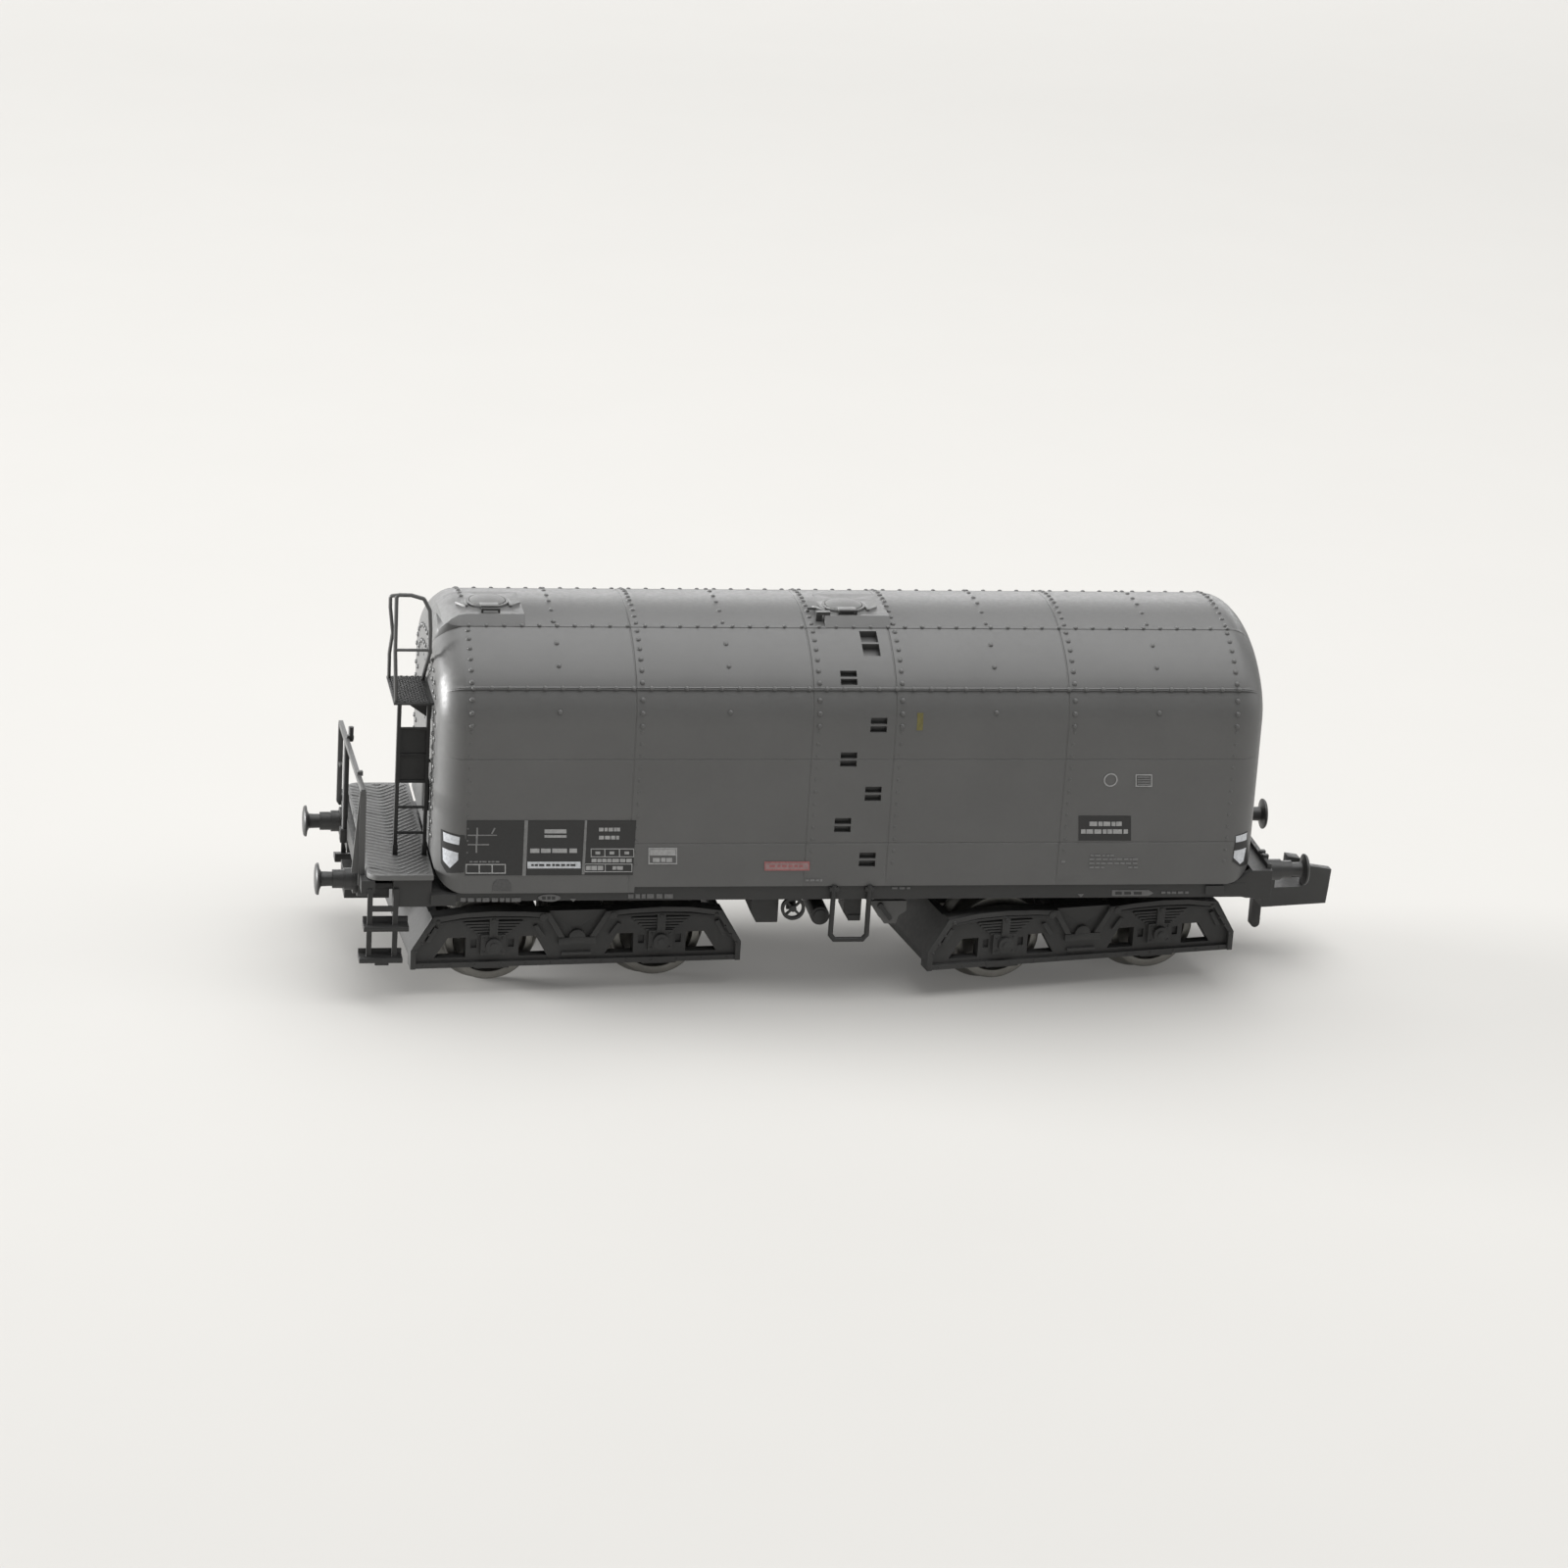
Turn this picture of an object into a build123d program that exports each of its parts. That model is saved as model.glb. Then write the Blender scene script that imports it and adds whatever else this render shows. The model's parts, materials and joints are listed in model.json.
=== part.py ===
from build123d import *
import os
from math import sin, cos, radians, sqrt

# Model tank wagon, N scale (1:160, 9 mm gauge), all sizes in millimetres.
# X runs along the wagon: -X is end A (brakeman's platform, ladder), +X is end B.
# Y is across the wagon: -Y is the near side, +Y the far side.  Z is up.
# The origin lies midway between the two bogie pivots, on the plane that the
# wheel flanges rest on.

os.makedirs("parts", exist_ok=True)

# ---------------------------------------------------------------- dimensions
scale = 160
running_clearance = 0.05       # radial, between pins and their holes
sides = ((-1, "near"), (1, "far"))

buffer_face_x = 33.66          # buffer faces at X = +-33.66
buffer_y = 5.47                # 1750 mm between buffer centres, rounded
buffer_z_a, buffer_z_b = 7.55, 7.90

tank_x0, tank_x1 = -26.2, 29.0
tank_half_width = 8.9
tank_side_top = 19.3           # where the vertical side turns into the arch
tank_top = 25.1
tank_bottom = 8.19
tank_skirt_bottom = 7.79       # deeper skirt of the bay next to end A
tank_skirt_x1 = -13.0
tank_corner_r = 2.0
tank_wall = 0.8
tank_end_wall = 1.1

floor_top, floor_bottom = 8.15, 7.75
sole_face_y = 8.75
sole_bottom = 7.2
beam_face_a, beam_back_a = -30.9, -30.0      # head stock of end A
beam_face_b, beam_back_b = 30.3, 29.4        # head stock of end B
clip_centres_x = (-12.0, 15.0)

pivot_x = 16.8                 # bogie pivots at X = +-16.8
pivot_shank_r = 1.15
pivot_thread_r = 0.75
coupler_pivot_x = 25.2         # coupler pins at X = +-25.2
coupler_pin_r = 0.55

deck_top, deck_bottom = 9.07, 8.72
ladder_y = -5.0
landing_z = 19.5               # underside of the landing plate
landing_top = landing_z + 0.17


# ------------------------------------------------------------------ helpers
def block(x0, x1, y0, y1, z0, z1):
    return Pos((x0 + x1) / 2, (y0 + y1) / 2, (z0 + z1) / 2) * Box(
        abs(x1 - x0), abs(y1 - y0), abs(z1 - z0))


def cyl_x(x0, x1, y, z, r):
    return Pos((x0 + x1) / 2, y, z) * Rot(0, 90, 0) * Cylinder(r, abs(x1 - x0))


def cyl_y(x, y0, y1, z, r):
    return Pos(x, (y0 + y1) / 2, z) * Rot(90, 0, 0) * Cylinder(r, abs(y1 - y0))


def cyl_z(x, y, z0, z1, r):
    return Pos(x, y, (z0 + z1) / 2) * Cylinder(r, abs(z1 - z0))


def prism_y(points, y0, y1):
    """Prism of an X-Z outline between two Y planes."""
    low, high = min(y0, y1), max(y0, y1)
    plane = Plane(origin=(0, high, 0), x_dir=(1, 0, 0), z_dir=(0, -1, 0))
    return extrude(plane * make_face(Polyline(*points, close=True)), amount=high - low)


def prism_x(points, x0, x1):
    """Prism of a Y-Z outline from x0 up to x1."""
    plane = Plane(origin=(x0, 0, 0), x_dir=(0, 1, 0), z_dir=(1, 0, 0))
    return extrude(plane * make_face(Polyline(*points, close=True)), amount=x1 - x0)


def bar(start, end, width, height, up=(0, 0, 1), over=0.0):
    """Flat bar from start to end, lengthened by over at both ends."""
    start, end = Vector(*start), Vector(*end)
    run = end - start
    along = run.normalized()
    across = Vector(*up).cross(along).normalized()
    plane = Plane(origin=(start + end) * 0.5, x_dir=across, z_dir=along)
    return plane * Box(width, height, run.length + 2 * over)


def fuse(shapes):
    """Fuse the shapes one after another, in order."""
    total = shapes[0]
    for shape in shapes[1:]:
        total = total + shape
    return total


def wire_rod(points, r):
    """Round rod through the points, with ball joints at the bends."""
    pieces = []
    for i in range(len(points) - 1):
        start, end = Vector(*points[i]), Vector(*points[i + 1])
        run = end - start
        plane = Plane(origin=(start + end) * 0.5, z_dir=run.normalized())
        pieces.append(plane * Cylinder(r, run.length))
        if i:
            pieces.append(Pos(*points[i]) * Sphere(r * 1.001))
    return fuse(pieces)


def bent_wire(points, r, bend):
    """Round wire along a path with rounded bends."""
    path = FilletPolyline(*points, radius=bend)
    return sweep(Plane(origin=path @ 0, z_dir=path % 0) * Circle(r), path=path)


def flip(points, sign):
    """Outline with its first coordinate multiplied by sign."""
    return [(sign * first, second) for first, second in points]


def lathe_y(profile, side=1):
    """Body of revolution about Y; profile is (radius, y) pairs."""
    points = [(r, y * side) for r, y in profile]
    return revolve(make_face(Polyline(*points, close=True)), Axis.Y)


def lathe_x(profile):
    """Body of revolution about X; profile is (x, radius) pairs."""
    return revolve(make_face(Polyline(*profile, close=True)), Axis.X)


def one(shape):
    """The single solid of a fused result."""
    solids = shape.solids()
    assert len(solids) == 1, "expected one solid, got %d" % len(solids)
    return solids[0]


def largest(shape):
    """The biggest solid, without the crumbs that a cut leaves behind."""
    return max(shape.solids(), key=lambda solid: solid.volume)


def save(name, shape):
    if isinstance(shape, (list, tuple)):
        shape = Compound(children=list(shape))
    export_step(shape, "parts/" + name + ".step")


# ------------------------------------------------------------ the tank shell
foothold_depth, foothold_bar = 0.55, 0.14
side_foothold_w, side_foothold_h = 1.10, 1.00
side_footholds = [(2.61, 19.43), (0.75, 17.05), (2.54, 14.66), (0.64, 12.47), (2.45, 10.04)]  # x, z
roof_footholds = [(0.64, 7.66, 1.10, 1.00), (2.36, 5.44, 1.15, 2.30)]  # x, y, width, height


def arch_section(half_width, top, bottom, x0, x1):
    """Length of tank: vertical sides under a half-elliptic roof."""
    plane = Plane(origin=(x0, 0, 0), x_dir=(0, 1, 0), z_dir=(1, 0, 0))
    roof = EllipticalCenterArc((0, tank_side_top), half_width, top - tank_side_top,
                               start_angle=0, arc_size=180)
    legs = Polyline((-half_width, tank_side_top), (-half_width, bottom),
                    (half_width, bottom), (half_width, tank_side_top))
    return extrude(plane * make_face([roof, legs]), amount=x1 - x0)


def round_end(solid, x):
    """Fillet the edges of the end face at x."""
    edges = [e for e in solid.edges() if abs(e.bounding_box().min.X - x) < 1e-3
             and abs(e.bounding_box().max.X - x) < 1e-3]
    return fillet(edges, tank_corner_r)


def tank_envelope():
    """Solid outside form of the tank in two bays."""
    bay_a = arch_section(tank_half_width, tank_top, tank_skirt_bottom, tank_x0, tank_skirt_x1)
    bay_a = round_end(bay_a, tank_x0)
    bay_b = arch_section(tank_half_width, tank_top, tank_bottom, tank_skirt_x1, tank_x1)
    return bay_a + round_end(bay_b, tank_x1)


def roof_point(y):
    """Height and outward normal of the roof at a lateral position."""
    rise = tank_top - tank_side_top
    z = tank_side_top + rise * sqrt(1 - (y / tank_half_width) ** 2)
    return z, (0, y / tank_half_width ** 2, (z - tank_side_top) / rise ** 2)


def foothold(x, y, z, normal, width, height):
    """Two cutters that leave a bar across the middle of the foothold."""
    plane = Plane(origin=(x, y, z), x_dir=(1, 0, 0), z_dir=normal)
    half = (height - foothold_bar) / 2
    proud = 0.3                # the cutters start this far outside the skin
    return [plane * Pos(0, sign * (foothold_bar + half) / 2, (proud - foothold_depth) / 2)
            * Box(width, half, foothold_depth + proud) for sign in (1, -1)]


def tank_shell():
    tank = plain_shell
    cutters = []
    for side, _ in sides:
        for x, z in side_footholds:
            cutters += foothold(x, side * tank_half_width, z, (0, side, 0),
                                side_foothold_w, side_foothold_h)
        for x, y, width, height in roof_footholds:
            z, normal = roof_point(side * y)
            cutters += foothold(x, side * y, z, normal, width, height)
    for cutter in cutters:
        tank = tank - cutter
    # retaining ribs inside the shell press on the floor clips
    for side, _ in sides:
        for x in clip_centres_x:
            tank = tank + block(x - 1.0, x + 1.0, side * 7.95, side * 8.15, 9.4, 9.7)
    return one(tank)


envelope = tank_envelope()
cavity = arch_section(tank_half_width - tank_wall, tank_top - tank_wall, 5.0,
                      tank_x0 + tank_end_wall, tank_x1 - tank_end_wall)
plain_shell = envelope - cavity
save("tank_shell", tank_shell())


def ballast_plate():
    """Plate on the floor inside the shell, holed over the pivot bosses."""
    plate = block(-21.0, 24.0, -6.6, 6.6, floor_top, floor_top + 2.2)
    for end in (-1, 1):
        plate = plate - cyl_z(end * pivot_x, 0, floor_top - 1, floor_top + 3, 1.6)
    return one(plate)


save("ballast_plate", ballast_plate())

# ------------------------------------------------------- manholes on the roof
# Each manhole stands on a flat pad let into the roof, offset to the near side.
pad_top = 25.2
pad_y0, pad_y1 = -4.1, 1.3
manholes = (("end", -22.50, -1.0, 1.42), ("middle", 1.20, -1.5, 1.46))  # tag, x, y, ring radius


def end_pad():
    """Pad of the end manhole, rounding off with the tank end."""
    turn_r = 2.1
    turn_x = tank_x0 + turn_r
    outline = [(-20.3, 23.6), (-20.3, pad_top), (turn_x, pad_top)]
    for k in range(1, 7):
        angle = radians(90 + 15 * k)
        outline.append((turn_x + 2.08 * cos(angle), pad_top - turn_r + turn_r * sin(angle)))
    outline.append((tank_x0 + 0.02, 22.9))
    pad = prism_y(outline, pad_y0, pad_y1)
    # round the near outer corner in plan
    corner_r = 1.5
    corner_x, corner_y = tank_x0 + corner_r, pad_y0 + corner_r
    return pad - (block(-27, corner_x, pad_y0 - 1, corner_y, 20, 27)
                  - cyl_z(corner_x, corner_y, 20, 27, corner_r))


def manhole_seat(tag, x, y, ring_r):
    if tag == "end":
        pad = end_pad()
    else:
        pad = block(-0.40, 3.95, pad_y0, pad_y1, 23.8, pad_top)
    # the near face of the pad slopes down to the roof seam
    slope = [(-5.0, pad_top + 1), (-5.0, 24.0), (pad_y0 - 0.3, 24.0), (pad_y0, 24.58),
             (pad_y0 + 0.62, pad_top), (pad_y0 + 0.62, pad_top + 1)]
    pad = pad - prism_x(slope, -27, 5)
    ring = cyl_z(x, y, pad_top - 0.05, pad_top + 0.17, ring_r)
    pad = pad + (ring - cyl_z(x, y, pad_top - 0.04, pad_top + 1, ring_r - 0.2))
    # swing-bolt lugs either side of the ring: each a V of two bars
    lug_z = pad_top + 0.06
    for sign in (-1, 1):
        lug_x, lug_y = x + sign * (ring_r + 0.05), y - 1.0
        pad = pad + bar((lug_x, lug_y, lug_z), (lug_x + sign * 0.62, lug_y + 0.72, lug_z),
                        0.18, 0.16)
        pad = pad + bar((lug_x - sign * 0.02, lug_y - 0.05, lug_z),
                        (x + sign * (ring_r - 0.02), y + 0.35, lug_z), 0.18, 0.16)
    return largest(pad - envelope)


def manhole_lid(x, y, ring_r):
    """Domed disc inside the ring, with a flat tongue over the near edge."""
    lid_r = ring_r - 0.24
    drop = 5.0                 # from the rim of the dome to its sphere centre
    lid = cyl_z(x, y, pad_top, pad_top + 0.16, lid_r)
    ball = Pos(x, y, pad_top + 0.20 - drop) * Sphere(sqrt(drop ** 2 + lid_r ** 2))
    lid = lid + (ball & cyl_z(x, y, pad_top + 0.10, pad_top + 0.34, lid_r))
    return one(lid + block(x - 0.60, x + 0.60, y - ring_r - 0.20, y - lid_r + 0.25,
                           pad_top + 0.18, pad_top + 0.28))


def manhole_handle(x):
    """Round bar along X on two short posts, near the sloping edge of the pad."""
    y, z = -3.22, pad_top + 0.24
    handle = cyl_x(x - 0.62, x + 0.62, y, z, 0.09)
    for sign in (-1, 1):
        handle = handle + cyl_z(x + sign * 0.55, y, pad_top, z, 0.08)
    return one(handle)


def manhole_lever():
    """Locking lever of the middle manhole, lying over the -X edge of its pad."""
    return largest(fuse([
        block(-0.95, -0.02, -3.45, -3.05, pad_top + 0.01, pad_top + 0.22),
        bar((-0.25, -3.10, pad_top + 0.12), (-0.75, -2.35, pad_top + 0.12), 0.16, 0.16),
        bar((-0.72, -2.36, pad_top + 0.12), (-1.35, -2.20, pad_top + 0.08), 0.16, 0.16),
        block(-0.95, -0.55, -3.40, -3.10, pad_top - 0.65, pad_top + 0.05),
    ]) - envelope)


for tag, x, y, ring_r in manholes:
    save("manhole_seat_" + tag, manhole_seat(tag, x, y, ring_r))
    save("manhole_lid_" + tag, manhole_lid(x, y, ring_r))
save("manhole_handles", [manhole_handle(x) for _, x, _, _ in manholes])
save("manhole_lever", manhole_lever())


# ------------------------------------------------------------- the underframe
def beam_end_outline():
    """Sole bar end at B, rising round the tank corner to the beam."""
    rise_r = 2.1
    centre_x, centre_z = tank_x1 - tank_corner_r, floor_top + rise_r
    rise = []
    for degrees in (-22.5, -45, -56.25, -67.5, -78.75, -90):
        angle = radians(degrees)
        rise.append((centre_x + rise_r * cos(angle), centre_z + rise_r * sin(angle)))
    rise[0] = (rise[0][0], 9.05)           # the arc stops at the beam top
    return [(26.9, sole_bottom), (28.2, sole_bottom), (28.6, 7.1), (beam_face_b, 7.1),
            (beam_face_b, 9.05)] + rise + [(26.9, floor_top - 0.02)]


def add_side_members(frame):
    step_x = tank_skirt_x1 - 0.05          # the sole bar is lower on the -X side of this
    for side, _ in sides:
        frame = fuse([
            frame,
            # sole bars, cut down under the deep skirt
            block(-26.3, step_x, side * 7.8, side * sole_face_y,
                  sole_bottom, tank_skirt_bottom - 0.02),
            block(step_x, 28.5, side * 7.8, side * sole_face_y, sole_bottom, floor_top),
            # deep web under the platform
            block(-28.8, -26.3, side * 7.9, side * 8.7, 6.8, 8.7),
            # jacking brackets at each end
            block(-26.35, -24.7, side * 8.3, side * 8.95, 6.95, 7.70),
            block(25.7, 26.95, side * 8.3, side * 8.95, 7.45, 8.04),
            prism_y(beam_end_outline(), side * 8.1, side * 8.7),
        ])
    return frame


def add_head_stocks(frame):
    frame = frame + block(beam_face_a, beam_back_a, -8.8, 8.8, 7.80, 8.65) \
        + block(beam_face_a, beam_back_a, -4.4, 4.4, 6.40, 8.0)
    frame = frame + block(28.9, beam_face_b, -8.7, 8.7, 8.60, 9.05) \
        + block(beam_back_b, beam_face_b, -8.7, 8.7, 7.1, 9.05)
    # low strip on the beam of end B, with four upright ribs
    frame = frame + block(30.02, beam_face_b, -8.3, 8.3, 9.0, 9.36)
    for y in (-6.9, -6.1, 6.1, 6.9):
        frame = frame + block(30.02, 30.42, y - 0.18, y + 0.18, 8.9, 9.55)
    # round buffer seats in the beam of end A
    for side, _ in sides:
        frame = frame + cyl_x(beam_face_a, beam_back_a, side * buffer_y, buffer_z_a, 1.15)
    return frame


def add_floor_fittings(frame):
    # deck bearers under the platform
    for y in (-5.0, -1.6, 1.6, 5.0):
        frame = frame + block(-30.1, -26.6, y - 0.25, y + 0.25, floor_top - 0.05, deck_bottom)
    # centre sill between the bogies, with a gap for the air cylinder
    frame = frame + block(-7.5, 7.5, -2.2, 2.2, 6.6, floor_bottom + 0.05)
    frame = frame - block(-1.1, 0.5, -2.5, 2.5, 5.0, floor_bottom)
    # bogie pivot bosses, below and above the floor, with the screw hole
    for end in (-1, 1):
        x = end * pivot_x
        frame = frame + cyl_z(x, 0, 6.30, floor_bottom + 0.05, 2.2)
        frame = frame + cyl_z(x, 0, floor_top - 0.05, 9.0, 1.5)
        frame = frame - cyl_z(x, 0, 5.0, 8.55, pivot_thread_r)
    # hooked clips that hold the tank shell
    for side, _ in sides:
        for x in clip_centres_x:
            frame = frame + block(x - 0.9, x + 0.9, side * 7.45, side * 7.85,
                                  floor_top - 0.05, 10.3)
            frame = frame + block(x - 0.9, x + 0.9, side * 7.80, side * 8.05, 9.75, 10.1)
    # bosses and holes for the coupler pins
    for end in (-1, 1):
        x = end * coupler_pivot_x
        frame = frame + cyl_z(x, 0, 7.25, floor_bottom + 0.05, 1.1)
        frame = frame - cyl_z(x, 0, 5.0, 8.05, coupler_pin_r)
    return frame


def cut_openings(frame):
    # openings of the beams for the coupler pockets
    frame = frame - block(-31.5, -29.0, -2.4, 2.4, 5.0, 7.35)
    frame = frame - block(29.0, 31.0, -2.4, 2.4, 5.0, 7.35)
    # sockets for the buffer spigots
    for side, _ in sides:
        frame = frame - cyl_x(-31.2, -30.2, side * buffer_y, buffer_z_a, 0.35)
        frame = frame - cyl_x(29.6, 30.6, side * buffer_y, buffer_z_b, 0.35)
    # room for the deep skirt and the rest of the tank shell
    skirt_room = block(tank_x0 - 0.02, tank_skirt_x1 + 0.02, -9.0, 9.0,
                       tank_skirt_bottom - 0.015, 8.6)
    skirt_room = skirt_room - block(tank_x0 + 1.05, tank_skirt_x1 + 0.3, -8.08, 8.08, 7.0, 9.0)
    return frame - skirt_room - plain_shell


def make_underframe():
    frame = block(-30.3, 29.4, -7.9, 7.9, floor_bottom, floor_top)
    frame = add_side_members(frame)
    frame = add_head_stocks(frame)
    frame = add_floor_fittings(frame)
    return largest(cut_openings(frame))


def platform_deck():
    """Brakeman's platform at end A, with rounded outer corners."""
    plate = block(-30.5, -26.22, -8.9, 8.9, deck_bottom, deck_top)
    plate = fillet(plate.edges().filter_by(Axis.Z).sort_by(Axis.X)[:2], 0.8)
    return largest(plate - envelope)


underframe = make_underframe()
save("underframe", underframe)
deck = platform_deck()
save("platform_deck", deck)


# ------------------------------------------------- railing and brake at end A
def end_railing():
    """Flat bar outside the beam: leaning near post, top rail, far post."""
    near_y, near_top_x, near_top_z = -7.45, -30.84, 14.4
    far_x, far_y, far_top_z = -31.16, 6.60, 14.15
    far_y0, far_y1 = far_y - 0.2, far_y + 0.2
    far_post = [(far_x - 0.17, 8.6), (far_x, 8.35), (far_x + 0.17, 8.35),
                (far_x + 0.17, far_top_z), (far_x - 0.17, far_top_z)]
    gusset = [(-31.45, 8.72), (-30.85, 8.72), (-30.80, 14.1), (-31.05, 14.1)]
    return largest(fuse([
        bar((-30.80, near_y, 7.85), (near_top_x, near_y, near_top_z), 0.42, 0.30, up=(0, 1, 0)),
        prism_y(far_post, far_y0, far_y1),
        bar((near_top_x, near_y, near_top_z), (far_x, far_y, far_top_z), 0.30, 0.30, over=0.2),
        # feet of the far post and a short stub on it
        block(far_x, beam_face_a, far_y0, far_y1, 8.75, 9.05)
        + block(-31.1, -30.52, far_y0, far_y1, 8.66, 9.0),
        bar((far_x, far_y, 11.4), (far_x, far_y - 0.9, 11.4), 0.2, 0.2),
        # small block on the top rail
        block(near_top_x - 0.15, near_top_x + 0.22, near_y + 2.8, near_y + 3.15,
              near_top_z + 0.02, near_top_z + 0.30),
        # tapering gusset at the near post
        prism_y(gusset, near_y - 0.02, near_y + 0.22),
    ]) - underframe - deck)


brake_x, brake_y = -31.04, 3.1


def brake_column():
    """Round column on the outer face of the beam, up to the top rail."""
    post = cyl_z(brake_x, brake_y, 6.90, 14.20, 0.20) \
        + block(brake_x - 0.3, beam_face_a, brake_y - 0.4, brake_y + 0.4, 7.0, 7.9)
    return largest(post - underframe - railing)


def brake_crank():
    arm = block(-31.05, -30.60, brake_y - 0.20, brake_y + 0.20, 14.28, 14.52)
    grip = cyl_z(-30.79, brake_y, 14.12, 15.12, 0.18)
    return largest(arm + grip - railing - column)


railing = end_railing()
save("end_railing", railing)
column = brake_column()
save("brake_column", column)
save("brake_crank", brake_crank())


# -------------------------------------------------- steps and ladder at end A
def shunter_steps(side):
    """Two lipped treads on a pair of flat hangers."""
    y_in, y_out, y_hanger = side * 8.10, side * 9.30, side * 8.82
    hangers_x = (-30.30, -28.62)
    treads = ((-30.70, -27.75, 5.30, 5.95), (-30.94, -28.10, 3.10, 3.70))  # x0, x1, z0, lip top
    pieces = [block(x0, x1, y_in, y_out, z0, z0 + 0.32) for x0, x1, z0, _ in treads]
    pieces += [block(x0, x1, y_in, y_in + side * 0.2, z0, lip) for x0, x1, z0, lip in treads]
    pieces.append(block(-29.9, -29.0, y_in + side * 0.3, y_out - side * 0.1, 2.90, 3.12))
    pieces += [block(x - 0.17, x + 0.17, y_hanger - 0.10, y_hanger + 0.10, 3.2, 7.95)
               for x in hangers_x]
    pieces.append(block(-30.45, -28.45, y_hanger - 0.10, y_hanger + 0.10, 6.55, 6.9))
    # tabs that bear on the head stock and the web
    pieces += [block(x - 0.17, x + 0.17, side * 8.70, y_hanger + side * 0.10, 7.2, 8.1)
               for x in hangers_x]
    steps = fuse(pieces)
    if side > 0:
        steps = Pos(-0.25, 0, 0.45) * steps
    return largest(steps - underframe)


for side, tag in sides:
    save("shunter_steps_" + tag, shunter_steps(side))

stiles_x = (-28.42, -26.50)
rungs_z = (10.62, 12.40, 14.18, 16.01, 17.84)


def ladder():
    """Two flat stiles and five rungs, closed panel between rungs 3 and 5."""
    pieces = []
    for x in stiles_x:
        pieces += [
            block(x - 0.12, x + 0.12, ladder_y - 0.25, ladder_y + 0.25, deck_top, landing_z),
            block(x - 0.16, x + 0.16, ladder_y - 0.30, ladder_y + 0.30,
                  deck_top, deck_top + 0.75),
        ]
    pieces += [cyl_x(*stiles_x, ladder_y - 0.05, z, 0.10) for z in rungs_z]
    pieces.append(block(*stiles_x, ladder_y - 0.02, ladder_y + 0.14, rungs_z[2], rungs_z[4]))
    # stay from the ladder to the tank end
    pieces.append(cyl_x(stiles_x[1], tank_x0 + 0.001, ladder_y, 15.6, 0.12))
    return largest(fuse(pieces) - envelope)


def end_valve_box():
    """Box on the tank end beside the ladder, with a thin upright rod."""
    box = block(-26.62, -26.21, ladder_y + 0.6, ladder_y + 1.5, 11.9, 13.9) - envelope
    return largest(box + cyl_z(-26.40, ladder_y + 1.05, 13.8, 15.45, 0.09))


def ladder_landing():
    """Plate at the top of the ladder on two tapering brackets."""
    tank_face = tank_x0 - 0.01
    landing = block(-28.82, tank_face, ladder_y - 0.25, 0.30, landing_z, landing_top)
    bracket = [(tank_face, landing_z + 0.05), (-28.2, landing_z + 0.05),
               (-28.2, landing_z - 0.12), (tank_face, landing_z - 1.5)]
    for y in (-3.6, -0.4):
        landing = landing + prism_y(bracket, y - 0.12, y + 0.12)
    return one(landing)


def landing_hoop():
    """Guard round the landing, in thin round wire."""
    below_plate = block(-30, -25, -6, 2, landing_z - 1, landing_top)
    foot_z = landing_top - 0.3
    loop_points = [            # x, y, z, over the near end of the landing
        (-28.64, -5.0, foot_z), (-28.81, -5.0, 23.08), (-28.84, -5.0, 26.94),
        (-27.88, -5.0, 26.92), (-27.06, -5.0, 26.68), (-26.66, -5.0, 25.90),
        (-26.57, -5.0, 24.60), (-26.57, -5.0, 23.00), (-26.45, 0.14, foot_z)]
    brace_points = [           # x, y, z, from the far end up to the loop
        (-28.66, 0.12, foot_z), (-28.89, -2.0, 22.02), (-28.92, -4.0, 24.09),
        (-29.18, -4.60, 25.95), (-29.22, -4.85, 26.82), (-28.70, -5.0, 26.93)]
    hoop = bent_wire(loop_points, 0.13, 0.22) - below_plate
    mid_rail = cyl_x(-28.80, -26.58, -5.0, 23.20, 0.10)
    brace = bent_wire(brace_points, 0.12, 0.2) - below_plate
    return largest(hoop + mid_rail + brace - envelope)


save("ladder", ladder())
save("end_valve_box", end_valve_box())
save("ladder_landing", ladder_landing())
save("landing_hoop", landing_hoop())

# ------------------------------------------------------------------- buffers
buffer_head_r = 1.06


def buffer(end, beam, y, z):
    """Turned buffer: thin head, plunger, stepped sleeve, mounting spigot."""
    face = buffer_face_x
    profile = [                # distance from mid wagon, radius
        (face, 0), (face, 0.72), (face - 0.05, 0.98), (face - 0.14, buffer_head_r),
        (face - 0.24, buffer_head_r), (face - 0.30, 0.72), (face - 0.42, 0.50),
        (face - 1.15, 0.48), (face - 1.15, 0.62), (face - 1.9, 0.62), (face - 1.9, 0.72),
        (beam + 0.30, 0.72), (beam + 0.30, 0.95), (beam, 0.95), (beam, 0.34),
        (beam - 0.65, 0.34), (beam - 0.65, 0)]
    return one(Pos(0, y, z) * lathe_x(flip(profile, end)))


for end_tag, end, beam, z in (("a", -1, -beam_face_a, buffer_z_a),
                              ("b", 1, beam_face_b, buffer_z_b)):
    for side, tag in sides:
        save("buffer_%s_%s" % (end_tag, tag), buffer(end, beam, side * buffer_y, z))


# ------------------------------------------- brake and air gear under the floor
def underfloor_box(side):
    outline = [(-5.0, sole_bottom), (-5.0, 6.0), (-4.6, 5.28), (-3.15, 5.28),
               (-3.15, sole_bottom)]
    return one(prism_y(outline, side * 8.0, side * 5.6) - underframe)


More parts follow.
